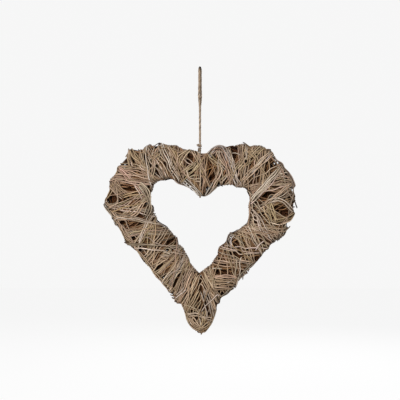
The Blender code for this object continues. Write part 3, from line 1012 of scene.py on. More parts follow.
def deep_layer(maps, seed, inset, pitch):
    """Inner turns, inside the wires, seen only between the upper ones."""
    rng = np.random.default_rng(seed)
    n = int(TOTAL_O / pitch)
    for j in range(n):
        k = index_of("O", (j + rng.uniform(0, 1)) * pitch)
        ki = index_of("I", arc_of("I", k) + rng.normal(0, 24) * 0.6)
        k2 = index_of("O", arc_of("O", k) + rng.normal(0, 14))
        if not (on_band(crossing(k, ki)) and on_band(crossing(k2, ki))):
            ki, k2 = k, k
        if any(through(crossing(q, ki)) for q in (k, k2)):
            continue
        pts = [at(EDGE[e], q) - SIGN[e] * at(UNIT, q) * inset for e, q in (("O", k), ("I", ki), ("O", k2))]
        parts = []
        for f in (0, 1):
            xz, c = route_of(pts[f], pts[f + 1], rng.normal(0, 1.5), 0.4, rng.uniform(0, 1))
            y = np.minimum(lay(maps, f, xz, c), sample(UPPER_BASE, xz[:, 0], xz[:, 1]) + 0.8)
            y = y * (1 - 0.55 * under_opening(f, xz))
            parts.append((xz, c, y, f))
        add_line(parts, R0 * rng.uniform(0.8, 1.15), tone_colour("deep", rng, 0.18), "deep")


def core_strands(seed, count):
    """Lengthwise strands in the middle of the band, behind everything."""
    rng = np.random.default_rng(seed)
    gaps = np.array(OPEN_VOIDS)
    for j in range(count):
        k = rng.uniform(0, NS)
        span = rng.uniform(3.0, 8.0) * SPAN
        f = rng.uniform(0.12, 0.88)
        y0 = rng.uniform(-6, 6)
        ph = rng.uniform(0, 6.28, 3)
        m = int(span / 6)
        line = []
        for q in range(m + 1):
            kk = k + span * q / m
            g = np.clip(f + 0.09 * math.sin(q * 0.11 + ph[0]) + 0.04 * math.sin(q * 0.31 + ph[1]), 0.1, 0.9)
            p = at(INN, kk) * (1 - g) + at(OUT, kk) * g
            d = p - gaps[:, :2]
            r = np.linalg.norm(d, axis=1)
            near = int(np.argmin(r - gaps[:, 2]))
            if r[near] < gaps[near, 2] + 1.6:
                p = gaps[near, :2] + d[near] / r[near] * (gaps[near, 2] + 1.6)
            line.append((p[0], y0 + 2.0 * math.sin(q * 0.2 + ph[2]), p[1]))
        line = rounded(even(smooth_path(line, 3), 2.0), 1.6)
        strands.append(Strand(line, R0 * rng.uniform(0.9, 1.3), tone_colour("deep", rng, 0.18), "deep"))
    # behind the larger openings there are always some
    for n, (x, z, r) in enumerate(VOIDS + BACK_VOIDS):
        if r < 2.2:
            continue
        level = -5.0 if n < len(VOIDS) else 5.0
        k = int(np.argmin(np.linalg.norm((OUT + INN) / 2 - (x, z), axis=1)))
        t = np.array([-UNIT[k][1], UNIT[k][0]])
        for side in np.linspace(-1.2, 1.2, 4) if r < 4 else np.linspace(-1.6, 1.3, 10):
            c = np.array([x, z]) + UNIT[k] * (side * (r + 1.0) * 0.8)
            lean = UNIT[k] * rng.normal(0, 0.18)
            q = np.linspace(-1, 1, 9) * rng.uniform(13, 19)
            p = kept_in(c + (t + lean) * q[:, None])
            if through(p, 1.4):
                continue
            y = level + rng.uniform(-4.0, 4.0) + 1.2 * np.sin(q / 6 + rng.uniform(0, 6))
            line = even(smooth_path(np.column_stack([p[:, 0], y, p[:, 1]]).tolist(), 3), 2.0)
            strands.append(Strand(line, R0 * rng.uniform(0.9, 1.3), tone_colour("deep", rng, 0.18), "deep"))


# Runs of strands that lie on top: from (x, z) to (x, z), how many side by side,
# their pitch, tone and bow. A wound run goes on to the edges of the band in its
# own line; a tucked one goes under its neighbours where it ends.
LAID = [
    # where a run of strands shows, from (x, z) to (x, z): strands, pitch, tone, bow
    # upper left lobe
    ("wound", (-83.5, -120.5), (-49.5, -170), 4, 2.8, "grey", 0),
    ("wound", (-65, -122), (-75.5, -174.5), 3, 2.8, "grey", 0),
    ("wound", (-88, -126.5), (-78.5, -180.5), 4, 2.9, "tan", 0),
    ("wound", (-134, -157.5), (-72.5, -168.5), 4, 2.8, "pink", 2),
    ("wound", (-123.5, -151.5), (-74, -160.5), 3, 2.8, "tan", 2),
    ("wound", (-120.5, -143.5), (-74, -213), 3, 3.1, "pink", 0),
    ("wound", (-106.5, -130), (-69.5, -171.5), 4, 2.9, "tan", 2),
    ("wound", (-111, -126.5), (-103.5, -154.5), 2, 3.2, "light", 0),
    ("wound", (-123.5, -156), (-106.5, -171.5), 3, 2.6, "pink", 0),
    ("wound", (-135.5, -179), (-114, -197.5), 4, 3.2, "tan", 0),
    ("wound", (-143.5, -170), (-74, -179), 4, 2.6, "tan", 2),
    ("wound", (-95.5, -179), (-80, -204), 3, 3.4, "light", 0),
    ("wound", (-103.5, -142), (-94, -134.5), 2, 2.5, "ochre", 0),
    ("tucked", (-91, -151.5), (-81.5, -159), 2, 3.1, "light", 0),
    # left lobe lower
    ("wound", (-135.5, -244), (-77, -188.5), 5, 2.6, "tan", -2),
    ("wound", (-148, -211.5), (-74, -225.5), 3, 2.5, "light", 2),
    ("wound", (-126.5, -251.5), (-61.5, -253), 3, 2.9, "grey", 0),
    ("wound", (-134, -213), (-123.5, -202.5), 2, 3.1, "grey", 0),
    ("wound", (-135.5, -224), (-91, -293.5), 4, 3.1, "pink", 3),
    ("wound", (-74, -225.5), (-100.5, -281), 3, 3.7, "tan", 0),
    ("wound", (-74, -238), (-77, -305.5), 3, 3.1, "ochre", 0),
    ("wound", (-137.5, -230), (-61.5, -245.5), 2, 3.7, "light", 2),
    ("tucked", (-119, -242.5), (-103.5, -265.5), 3, 2.9, "tan", 0),
    ("wound", (-80, -236), (-92.5, -275), 2, 3.7, "light", -2),
    # lower left
    ("wound", (-61.5, -262.5), (-81.5, -299.5), 5, 4, "tan", 0),
    ("wound", (-97, -282.5), (-66.5, -322.5), 3, 2.9, "tan", 2),
    ("wound", (-43, -275), (-69.5, -315), 3, 3.1, "ochre", -5),
    ("tucked", (-61.5, -290), (-44.5, -287), 2, 3.1, "light", 3),
    ("tucked", (-65, -298), (-49.5, -295), 2, 2.8, "tan", 2),
    ("tucked", (-57, -281), (-43, -285.5), 2, 2.6, "light", 3),
    ("wound", (-54, -332), (-29.5, -284), 5, 3.4, "tan", 2),
    ("wound", (-71, -318), (-29.5, -276.5), 4, 2.2, "tan", 0),
    ("wound", (-119, -268.5), (-44.5, -278), 4, 2.6, "light", 2),
    ("wound", (-48, -344), (-20, -285.5), 3, 3.2, "light", 2),
    ("wound", (-34, -356.5), (-15.5, -296.5), 5, 3.2, "pink", 2),
    ("wound", (-69.5, -315), (-46.5, -345.5), 2, 2.9, "tan", 2),
    # tip
    ("wound", (12.5, -305.5), (37, -349), 4, 3.1, "tan", 2),
    # lower right
    ("wound", (32.5, -278), (35.5, -352), 5, 3.1, "ochre", 0),
    ("wound", (61.5, -250), (78.5, -305.5), 5, 3.7, "tan", 0),
    ("wound", (43, -299.5), (81.5, -304), 4, 2.8, "pink", 0),
    ("tucked", (7.5, -321), (58.5, -322.5), 3, 2.8, "tan", 0),
    ("tucked", (12.5, -332), (58.5, -332), 3, 2.8, "ochre", 0),
    ("tucked", (15.5, -338), (51, -338), 3, 2.6, "tan", 2),
    ("wound", (46.5, -268.5), (55.5, -339.5), 4, 3.4, "tan", -2),
    ("wound", (58.5, -290), (52.5, -339.5), 2, 3.4, "light", 2),
    ("wound", (58.5, -327), (81.5, -299.5), 3, 2.9, "grey", 2),
    ("tucked", (18.5, -308.5), (34, -308.5), 1, 2.8, "light", 0),
    ("tucked", (18.5, -318), (37, -319.5), 2, 2.8, "tan", 0),
    ("wound", (9.5, -308.5), (21.5, -352), 4, 3.1, "tan", 2),
    ("wound", (28, -355), (51, -338), 2, 2.9, "grey", 0),
    ("wound", (29.5, -276.5), (100.5, -284), 3, 2.5, "light", -2),
    ("tucked", (51, -321), (40, -329), 1, 2.8, "bright", 0),
    # right lobe lower
    ("wound", (75.5, -238), (135.5, -251.5), 4, 3.2, "pink", 0),
    ("wound", (75.5, -250), (129.5, -262.5), 4, 3.1, "tan", 2),
    ("wound", (55.5, -248.5), (95.5, -265.5), 3, 2.9, "tan", 0),
    ("wound", (75.5, -238), (95.5, -287), 5, 3.1, "tan", 2),
    ("wound", (137.5, -239.5), (122, -265.5), 3, 2.9, "grey", -2),
    ("wound", (74, -247), (89.5, -281), 2, 3.4, "light", 0),
    ("tucked", (77, -194.5), (75.5, -244), 3, 2.9, "tan", 0),
    ("tucked", (89.5, -221), (119, -197.5), 4, 2.6, "tan", 0),
    ("tucked", (102, -210), (115.5, -242.5), 4, 2.9, "ochre", 2),
    ("wound", (75.5, -202.5), (112.5, -268.5), 4, 3.9, "light", 0),
    ("tucked", (94, -245.5), (106.5, -264), 1, 2.9, "bright", 0),
    ("tucked", (97, -265.5), (83.5, -281), 1, 2.9, "bright", 0),
    ("tucked", (103.5, -247), (129.5, -248.5), 2, 3.7, "tan", 0),
    # upper right
    ("wound", (142, -176), (75.5, -191.5), 5, 3.1, "pink", 0),
    ("wound", (135.5, -163.5), (77, -184), 4, 3.1, "tan", 0),
    ("wound", (86.5, -120.5), (83.5, -180.5), 4, 3.4, "pink", 0),
    ("wound", (95.5, -122), (89.5, -185.5), 3, 3.4, "tan", 0),
    ("wound", (100.5, -125), (95.5, -188.5), 3, 3.7, "ochre", 0),
    ("wound", (75.5, -126.5), (102, -173), 2, 3.4, "ochre", 0),
    ("wound", (95.5, -122), (32.5, -180.5), 5, 2.9, "ochre", 0),
    ("wound", (106.5, -125), (134, -165.5), 3, 2.9, "grey", 2),
    ("wound", (132.5, -157.5), (148, -199), 3, 2.9, "grey", 2),
    ("tucked", (115.5, -176), (140.5, -174.5), 4, 2.9, "tan", 0),
    ("tucked", (120.5, -165.5), (139, -167), 2, 3.1, "light", 0),
    ("wound", (126.5, -151.5), (81.5, -204), 5, 3.1, "light", 2),
    ("wound", (139, -182), (105, -207), 3, 2.9, "light", 0),
    ("wound", (111, -130), (61.5, -177.5), 2, 3.4, "bright", 0),
    ("wound", (105, -130), (72.5, -160.5), 1, 3.4, "light", 0),
    ("wound", (142, -193), (140.5, -238), 3, 2.9, "grey", -3),
    # notch, right side
    ("wound", (15.5, -136), (37, -160.5), 2, 3.4, "light", 0),
    ("tucked", (34, -179), (44.5, -167), 2, 3.1, "light", 0),
    ("wound", (68, -117.5), (66.5, -182), 3, 3.2, "light", 0),
    ("wound", (58.5, -122), (60, -182), 2, 3.2, "pink", 0),
    ("tucked", (46.5, -134.5), (61.5, -136), 1, 2.9, "light", 0),
    ("tucked", (26, -160.5), (15.5, -191.5), 3, 2.9, "tan", 0),
    ("wound", (12.5, -131.5), (43, -125), 2, 2.9, "grey", -2),
    ("tucked", (20, -125), (14, -136), 2, 2.9, "light", 0),
    ("tucked", (28, -139), (37, -128), 2, 2.9, "tan", 0),
    # notch, left side
    ("wound", (-61.5, -120.5), (-77, -173), 3, 2.9, "tan", 0),
    ("tucked", (-65, -139), (-46.5, -168.5), 3, 2.9, "tan", 0),
    ("tucked", (-75.5, -142), (-61.5, -133), 3, 2.8, "ochre", 0),
    ("tucked", (-26, -167), (0, -145), 4, 3.1, "tan", 0),
    ("tucked", (-21.5, -177.5), (0, -170), 3, 3.1, "tan", 0),
    ("tucked", (-24.5, -139), (-4.5, -150), 2, 3.2, "light", 0),
    ("wound", (-80, -117.5), (-75.5, -174.5), 1, 3.1, "bright", 0),
    ("wound", (-49.5, -120.5), (-24.5, -176), 1, 3.4, "light", -2),
]
# Runs that bend: points (x, z), how many side by side, their pitch and tone.
CURVED = [
    # left lobe
    (((-139.5, -175), (-123, -171), (-100.5, -177), (-74, -179.5)), 3, 2.3, "pink"),
    (((-132.5, -176), (-123, -189), (-112, -197.5)), 5, 2.6, "pink"),
    (((-117, -182), (-106, -185.5), (-98, -189)), 1, 2.3, "light"),
    (((-86, -203), (-90.5, -214), (-100.5, -224.5), (-111, -229.5), (-126.5, -227), (-138, -217.5)), 3, 2.9, "tan"),
    (((-90.5, -198.5), (-100.5, -208), (-110, -217.5), (-114.5, -223.5)), 3, 3.1, "tan"),
    (((-95.5, -177), (-86, -184), (-79, -197.5), (-77.5, -210.5), (-80, -222.5), (-86, -231.5)), 4, 2.6, "pink"),
    (((-118, -199.5), (-110, -196), (-95.5, -192.5), (-90.5, -191.5)), 2, 2, "ochre"),
    (((-149, -208), (-143, -217.5), (-134.5, -227), (-130.5, -233)), 2, 2.3, "grey"),
    (((-144, -198.5), (-143, -205.5), (-138, -211.5), (-126.5, -214.5)), 2, 2.3, "tan"),
    (((-134.5, -233), (-123, -229.5), (-100.5, -231.5), (-67, -240)), 2, 2.3, "light"),
    (((-110, -127), (-107.5, -142.5), (-104, -153.5)), 3, 2.3, "tan"),
    (((-106, -126), (-99, -138), (-90.5, -144)), 2, 2.3, "ochre"),
    (((-81.5, -122), (-79, -139), (-75.5, -153.5), (-74, -174)), 2, 2.5, "light"),
    (((-127.5, -153.5), (-114.5, -153.5), (-100.5, -155.5)), 2, 2.3, "tan"),
    (((-123, -155.5), (-108.5, -167.5), (-104, -172.5)), 4, 2.6, "pink"),
    (((-71.5, -142.5), (-63, -154.5), (-55, -167.5)), 3, 2.9, "light"),
    # right lobe
    (((125.5, -150), (108, -170), (78.5, -205.5)), 3, 2.5, "light"),
    (((113, -128), (92.5, -147), (63, -176)), 3, 2.5, "tan"),
    (((141, -180), (117, -197.5), (95, -216)), 3, 2.5, "tan"),
    (((103.5, -207), (117.5, -202.5), (132.5, -211), (144, -223)), 2, 2.6, "light"),
    (((144.5, -224), (139.5, -233.5), (121, -239), (105, -236.5)), 2, 2.5, "tan"),
    (((105.5, -208), (109.5, -221), (114, -235.5)), 3, 2.5, "ochre"),
    (((114, -235.5), (134.5, -230.5), (146, -222)), 2, 2.3, "ochre"),
    (((79.5, -218.5), (90, -235.5), (99.5, -258)), 4, 2.8, "light"),
    (((114, -137.5), (126, -147.5), (141.5, -168.5), (146.5, -185.5)), 3, 2.3, "grey"),
    (((38.5, -124), (49, -153), (58, -180.5)), 4, 2.5, "light"),
    (((71, -129.5), (78.5, -136), (86.5, -144.5)), 1, 2.5, "ochre"),
    # notch
    (((-61, -115.5), (-50.5, -142.5), (-41, -163), (-29.5, -178.5)), 3, 2.3, "light"),
    (((-53, -117), (-41, -139), (-32.5, -159), (-23.5, -181)), 4, 2.3, "tan"),
    (((-12.5, -126), (-28, -138), (-34, -151.5)), 3, 2.5, "tan"),
    (((-11.5, -127.5), (-3, -140.5), (3, -152.5)), 3, 2.5, "tan"),
    (((-27, -164.5), (-14, -158), (-4.5, -147)), 3, 3.1, "tan"),
    (((-19.5, -157), (-17.5, -170), (-6.5, -171.5)), 1, 2.3, "light"),
    (((13, -138), (23, -123.5), (33.5, -123), (40.5, -134.5), (48, -151), (54, -170), (60, -182)), 4, 2.3, "ash"),
    (((19, -134.5), (26, -128), (32, -130), (37.5, -142.5), (43, -158), (45.5, -170),
     (48.5, -183.5)), 3, 2.5, "pink"),
    (((14.5, -138), (23, -145), (32.5, -152)), 3, 2.5, "ochre"),
    (((31.5, -149.5), (26.5, -165.5), (19, -180), (7.5, -196)), 3, 2.5, "pink"),
    (((6, -133), (5, -154.5), (7, -176), (5, -193)), 2, 2.9, "pink"),
    (((73.5, -143.5), (66.5, -151.5), (59.5, -159.5)), 3, 2.3, "ochre"),
    (((-40, -171.5), (-35.5, -178), (-28, -181.5), (-19.5, -181)), 1, 2.3, "grey"),
    (((-26, -177.5), (-19.5, -183), (-13, -186.5), (-8.5, -186.5)), 1, 2.3, "grey"),
    (((-13, -173), (-7, -179.5), (-4, -186.5), (-1, -192.5)), 3, 1.7, "brown"),
    (((-7, -186), (-3, -193.5), (1, -199)), 2, 1.9, "tan"),
    (((18, -180.5), (12.5, -190.5), (6, -196.5)), 1, 1.9, "brown"),
    (((27, -180.5), (19.5, -190), (12.5, -196.5), (5.5, -198.5)), 2, 1.9, "light"),
    # tip
    (((-29.5, -296.5), (-44.5, -318), (-58.5, -333.5)), 4, 2.6, "tan"),
    (((-19.5, -300), (-32.5, -327), (-44.5, -347.5)), 4, 2.6, "tan"),
    (((-14.5, -309.5), (-28, -339.5), (-38, -357.5)), 5, 2.6, "pink"),
    (((-8, -316.5), (-21, -344), (-31, -361)), 4, 2.5, "tan"),
    (((-1, -323.5), (-11, -344), (-22.5, -364), (-24, -376.5)), 5, 2.5, "tan"),
    (((-22.5, -336.5), (-31, -345.5), (-39.5, -354)), 2, 2.5, "bright"),
    (((1, -341), (-6, -353.5), (-14.5, -370.5), (-17, -389)), 5, 2.5, "ochre"),
    (((3, -319), (11, -332), (22.5, -346.5), (27, -356.5)), 4, 2.5, "tan"),
    (((9, -309.5), (15.5, -321), (24.5, -338)), 4, 2.5, "tan"),
    (((4.5, -330.5), (10, -342.5), (17.5, -361), (22.5, -375)), 4, 2.5, "pink"),
    (((5.5, -341), (11, -358), (14.5, -376.5), (14, -395)), 5, 2.5, "grey"),
    (((14.5, -333.5), (24.5, -345.5), (31.5, -358)), 3, 2.5, "tan"),
    (((-1.5, -356.5), (-7.5, -367.5), (-10, -378)), 3, 2.5, "tan"),
    (((2.5, -369.5), (0, -382.5), (1, -403)), 3, 2.3, "light"),
    (((6, -371), (5, -384.5), (4.5, -404.5)), 2, 2.5, "ochre"),
    (((-15.5, -381), (-7.5, -389), (1.5, -400.5)), 2, 2.5, "pink"),
    (((-20, -383.5), (-13, -393), (-4, -403.5)), 3, 2.5, "tan"),
    (((-22, -372), (-19.5, -386), (-12.5, -397.5)), 2, 2.5, "tan"),
    (((19, -378), (14, -390.5), (5.5, -404.5)), 3, 2.5, "brown"),
    (((22.5, -369), (21, -382.5), (16, -397.5)), 3, 2.5, "grey"),
    (((-14, -393), (-3, -399.5), (11, -402)), 3, 2.3, "tan"),
    (((16, -389.5), (6, -399), (-7, -405.5)), 3, 2.3, "ochre"),
    (((-22.5, -377), (-14, -378.5), (-4.5, -378), (7.5, -382), (22.5, -383.5)), 2, 2.2, "light"),
    (((28.5, -347.5), (14, -359.5), (-2, -376)), 1, 2.2, "bright"),
    # lower right
    (((21, -319), (37, -319), (55, -320.5)), 2, 2.5, "tan"),
    (((21.5, -326.5), (37, -327), (54, -329)), 3, 2.5, "ochre"),
    (((22.5, -335.5), (35.5, -336.5), (49.5, -337.5)), 3, 2.5, "tan"),
    (((51.5, -254), (45.5, -259.5), (44, -267), (48.5, -274), (57, -275.5)), 3, 2, "ash"),
    (((48.5, -255.5), (55.5, -260), (61.5, -264), (67, -271.5)), 2, 2.3, "grey"),
    (((-25.5, -173.5), (-18.5, -179), (-11, -184.5), (-4, -192.5), (1, -199)), 3, 1.9, "ash"),
    (((5.5, -200.5), (12.5, -197.5), (20, -190.5), (27, -184)), 3, 2, "ash"),
    (((7.5, -199), (11.5, -190), (15.5, -181.5), (20, -174.5)), 2, 2, "ash"),
]


def leaves_band(p, d, lo, hi):
    """Where the line p + t d crosses the wires on either side of t = lo..hi."""
    hits = []
    for e in "OI":
        q = EDGE[e]
        s = (q - p) @ np.array([-d[1], d[0]])
        t = (q - p) @ d
        s2, t2 = np.roll(s, -1), np.roll(t, -1)
        for i in np.where((s * s2 <= 0) & (np.abs(s) < 30))[0]:
            f = s[i] / (s[i] - s2[i]) if s[i] != s2[i] else 0.0
            hits.append((t[i] * (1 - f) + t2[i] * f, e, (i + f) % NS))
    mid = (lo + hi) / 2
    back = [h for h in hits if h[0] < mid]
    on = [h for h in hits if h[0] > mid]
    if not back or not on:
        return None
    return max(back), min(on)


def lay_listed(maps, seed):
    rng = np.random.default_rng(seed)
    for how, a, b, count, pitch, tone, bow in LAID:
        pitch, count = pitch * 1.2, max(1, round(count / 1.12))
        a, b = np.array(a, float), np.array(b, float)
        L = np.linalg.norm(b - a)
        d = (b - a) / L
        side = np.array([-d[1], d[0]])
        order = list(range(count))
        anchors, bows, radius = [], [], R0 * rng.uniform(0.92, 1.12)
        tint = tone_colour(tone, rng, 0.05)
        run_bow = rng.normal(0, 1.6)
        for i in order:
            off = side * ((i - (count - 1) / 2) * pitch + rng.normal(0, 0.5))
            # neighbours in a run aren't quite parallel
            turn = rng.normal(0, 0.045)
            own = rng.normal(0, 1.0)
            dd = d + side * turn
            if how == "tucked":
                p0, p1 = kept_in(np.array([a + off, b + off + side * turn * L]))
                xz, c = route_of(p0, p1, bow + run_bow + own, rng.uniform(0.4, 1.5), rng.uniform(0, 1),
                                 keep=True)
                if covers_opening(0, xz, 0.6):
                    continue
                y = lay(maps, 0, xz, c, radius, sunk=1.6)
                add_line([(xz, c, y, 0)], radius, tone_colour(tone, rng, 0.08), "top")
                continue
            hit = leaves_band(a + off, dd, 0.0, L)
            if hit is None or hit[0][0] < -24 or hit[1][0] > L + 24:
                # runs along the edge: both ends go under
                p0, p1 = kept_in(np.array([a + off, b + off + side * turn * L]))
                xz, c = route_of(p0, p1, bow + rng.normal(0, 0.5), rng.uniform(0.3, 1.0), rng.uniform(0, 1),
                                 keep=True)
                y = lay(maps, 0, xz, c, radius, sunk=1.6)
                add_line([(xz, c, y, 0)], radius, tone_colour(tone, rng, 0.08), "top")
                continue
            (t0, e0, k0), (t1, e1, k1) = hit
            if t1 - t0 < 6 or covers_opening(0, crossing(k0, k1, bow + run_bow + own, e0, e1), 0.6):
                continue
            if rng.random() < 0.6 and anchors:
                wind(maps, anchors, radius, tint, "top", rng, face=0, bows=bows, wave=1.4)
                anchors, bows, radius = [], [], R0 * rng.uniform(0.92, 1.12)
                tint = tone_colour(tone, rng, 0.13)
            anchors += [(e0, off_bare(e0, k0, rng)), (e1, off_bare(e1, k1, rng))]
            bows += [bow + run_bow + own, -0.5 * bow - run_bow]
        if anchors:
            e, k = anchors[0]
            other = "I" if e == "O" else "O"
            last = index_of(other, arc_of(other, k) + rng.normal(0, 16))
            xz = crossing(anchors[-1][1], last, 0.0, anchors[-1][0], other)
            if anchors[-1][0] != other and on_band(xz):
                anchors.append((other, last))
            wind(maps, anchors, radius, tint, "top", rng, face=0, bows=bows + [0.0, 0.0], wave=1.4)


# The twine's tie goes round the band at the notch before the last turns do.
TIE_START_Z, TIE_LEAD_Z = KNOT_BOTTOM - 0.2, KNOT_BOTTOM - GAP - 2.4


def lay_tie(maps):
    bottom = at(EDGE["I"], 0.0)[1] - (WIRE_R + R0 + 1.9)
    sides = []
    for face, sign in ((0, -1.0), (1, 1.0)):
        z = np.arange(TIE_LEAD_Z, bottom - 0.01, -0.8)
        x = 0.35 * np.sin((z + 125) / 9.0) + 0.4
        xz = np.column_stack([x, z])
        h = np.maximum(sample(maps.h[face], xz[:, 0], xz[:, 1]), 0) + 0.35
        h[0] = LEG_HALF
        h[-1] = 0.0
        c = TIE_LEAD_Z - z
        hull = upper_hull(c, h)
        y = np.interp(c, hull[:, 0], hull[:, 1])
        lay(maps, face, xz, c, 1.1)
        sides.append(np.vstack([[0.0, sign * LEG_HALF, TIE_START_Z], np.column_stack([x, sign * y, z])]))
    path = np.vstack([sides[0], sides[1][::-1][1:]])
    return rounded(even(path, 0.8), 1.8)


def lay_curved(maps, seed):
    """The bent runs. An end near a wire goes round it; others go under."""
    rng = np.random.default_rng(seed)
    for points, count, pitch, tone in CURVED:
        pitch, count = pitch * 1.35, max(1, round(count / 1.18))
        base = even(smooth_path([(x, 0.0, z) for x, z in points], 12), 1.0)[:, [0, 2]]
        t = np.gradient(base, axis=0)
        t /= np.linalg.norm(t, axis=1)[:, None]
        side = np.column_stack([-t[:, 1], t[:, 0]])
        q = np.linspace(0, 1, len(base))
        radius, tint = R0 * rng.uniform(0.98, 1.16), tone_colour(tone, rng, 0.06)
        for i in range(count):
            off = (i - (count - 1) / 2) * pitch + rng.normal(0, 0.45) + rng.normal(0, 1.7) * (q - 0.5)
            off = off + rng.uniform(0.3, 1.0) * np.sin(2 * math.pi * (q * len(base) / 27.0 + rng.uniform(0, 1)))
            cut = int(rng.uniform(0, 0.08) * len(base))
            xz = kept_in((base + side * off[:, None])[cut:len(base) - int(rng.uniform(0, 0.08) * len(base))])
            if len(xz) < 5 or covers_opening(0, xz, 0.6):
                continue
            hooks = []
            for end in (0, -1):
                near = None
                for e in "OI":
                    d = np.linalg.norm(EDGE[e] - xz[end], axis=1)
                    k = int(np.argmin(d))
                    if d[k] < 7.5 and (near is None or d[k] < near[0]):
                        near = (d[k], e, k)
                hooks.append(near)
            parts_xz = [xz]
            for end, near in ((0, hooks[0]), (-1, hooks[1])):
                if near is None:
                    continue
                tip = edge_point(maps, near[1], near[2], 0.9)
                gap = max(2, int(np.linalg.norm(tip - xz[end])))
                f = (np.arange(1, gap + 1) / gap)[:, None]
                run = xz[end] + (tip - xz[end]) * f
                parts_xz = [run[::-1]] + parts_xz if end == 0 else parts_xz + [run]
            line = np.vstack(parts_xz)
            c = np.concatenate([[0], np.cumsum(np.linalg.norm(np.diff(line, axis=0), axis=1))])
            y = lay(maps, 0, line, c, radius, sunk=1.6) if not (hooks[0] and hooks[1]) else lay(maps, 0, line, c, radius)
            f = np.ones(len(y))
            m = min(5, len(y) // 2)
            if hooks[0]:
                f[:m] = np.sin(np.linspace(0, math.pi / 2, m))
            if hooks[1]:
                f[-m:] = np.minimum(f[-m:], np.sin(np.linspace(math.pi / 2, 0, m)))
            y = y * f
            parts = [(line, c, y, 0)]
            for end, near in ((0, hooks[0]), (-1, hooks[1])):
                if near is None:
                    continue
                inward = -SIGN[near[1]] * UNIT[near[2]]
                back = line[end] + inward * np.arange(0, 12, 1.0)[:, None]
                yb = np.maximum(sample(maps.h[1], back[:, 0], back[:, 1]), 0) * np.sin(np.linspace(0, math.pi / 2, 12))
                yb[-3:] -= (0.6, 1.4, 2.2)
                if end == 0:
                    parts = [(back[::-1], None, yb[::-1], 1)] + parts
                else:
                    parts = parts + [(back, None, yb, 1)]
            add_line(parts, radius * rng.uniform(0.86, 1.08), np.clip(tint * (1 + rng.normal(0, 0.19)), 0.01, 0.9), "bent")


def close_daylight(seed, rounds=3):
    """A strand in the middle of the band behind each gap that daylight would come
    through, but for the places that are open right through."""
    rng = np.random.default_rng(seed)
    ix, iz = np.meshgrid(np.arange(NX), np.arange(NZ), indexing="ij")
    x, z = X0 + ix * CELL, Z0 + iz * CELL
    wanted = FULL_BODY > 11
    for gx, gz, r in OPEN_VOIDS:
        wanted &= np.hypot(x - gx, z - gz) > r + 1.2
    for _ in range(rounds):
        seen = np.zeros((NX, NZ), bool)
        for st in strands:
            p = even(st.pts, 0.5)
            for dx in (-0.4, 0.0, 0.4):
                for dz in (-0.4, 0.0, 0.4):
                    seen[cells(p[:, 0] + dx, p[:, 2] + dz)] = True
        gaps = np.argwhere(wanted & ~seen)
        rng.shuffle(gaps)
        done = np.zeros(len(gaps), bool)
        laid = 0
        for n, (i, j) in enumerate(gaps):
            if done[n] or laid > 90:
                continue
            c = np.array([X0 + i * CELL, Z0 + j * CELL])
            k = int(np.argmin(np.linalg.norm((OUT + INN) / 2 - c, axis=1)))
            t = np.array([-UNIT[k][1], UNIT[k][0]])
            for _try in range(6):
                p = kept_in(c + (t + UNIT[k] * rng.normal(0, 0.3)) * (np.linspace(-1, 1, 9) * rng.uniform(8, 16))[:, None])
                if not through(p, 1.0):
                    break
            else:
                continue
            y = rng.uniform(-4, 4) + 1.2 * np.sin(np.linspace(0, 3, 9) + rng.uniform(0, 6))
            line = even(smooth_path(np.column_stack([p[:, 0], y, p[:, 1]]).tolist(), 3), 2.0)
            strands.append(Strand(line, R0 * rng.uniform(1.0, 1.35), tone_colour("deep", rng, 0.18), "deep"))
            near = np.linalg.norm(gaps[:, None] * CELL + (X0, Z0) - line[None, :, [0, 2]], axis=2).min(1) if len(gaps) < 4000 else None
            if near is not None:
                done |= near < 0.9
            laid += 1
        print("gaps", len(gaps), "closed with", laid)


def part_round_openings(most=2.6, reach=4.5):
    """The strands on the front bend a little to one side or the other of each opening."""
    moved = 0
    for st in strands:
        if st.kind == "deep":
            continue
        for x, z, r in VOIDS:
            d = np.hypot(st.pts[:, 0] - x, st.pts[:, 2] - z)
            room = r + R0 * 1.05
            near = (d < room) & (st.pts[:, 1] < 0)
            if not near.any():
                continue
            p = st.pts.copy()
            c = np.concatenate([[0], np.cumsum(np.linalg.norm(np.diff(p, axis=0), axis=1))])
            runs = np.split(np.flatnonzero(near), np.flatnonzero(np.diff(np.flatnonzero(near)) > 1) + 1)
            for run in runs:
                i = int(run[np.argmin(d[run])])
                t = (p[min(i + 2, len(p) - 1)] - p[max(i - 2, 0)])[[0, 2]]
                t /= np.linalg.norm(t) + 1e-9
                n = np.array([-t[1], t[0]])
                off = float((p[i, [0, 2]] - (x, z)) @ n)
                need = min(most, room - abs(off))
                w = np.exp(-((c - c[i]) / reach) ** 2) * np.clip(-p[:, 1] / 4.0, 0, 1)
                shift = (n * (need if off >= 0 else -need))[None, :] * w[:, None]
                p[:, 0] += shift[:, 0]
                p[:, 2] += shift[:, 1]
            st.pts = p
            moved += 1
    print("bent round openings", moved)


UPPER_BASE = base_map(9.0, 3.6)
FULL_BODY = base_map(-0.5, 0.0)         # no strand stands far off this
deep = Maps(13.5, 7.0, 0.9)
core_strands(2, 84)
deep_layer(deep, 3, 4.5, 1.13)
upper = Maps(9.0, 3.6, 6.5)
for f in (0, 1):
    upper.h[f] = np.maximum(upper.h[f], np.minimum(deep.h[f], upper.h[f] + 1.0))
bare_level = [h + 0.05 for h in upper.h]
layer(upper, 5, 1.7, "under", 6, 34.0, across=0.82, wave=1.4)
mend(upper, bare_level, 6, 90)
layer(upper, 8, 0.55, "over", 5, 40.0, across=0.74, wave=1.7)
tie_path = lay_tie(upper)
lay_listed(upper, 12)
lay_curved(upper, 13)
mend(upper, [h + 1.6 for h in bare_level], 17, 70, room=1.3, faces=(1,), kind="over")
layer(upper, 15, 0.22, "stray", 1, 46.0, across=0.62, wave=2.0)
mend(upper, [h + 2.0 for h in bare_level], 23, 70, room=1.3, faces=(1,), kind="over")
part_round_openings()
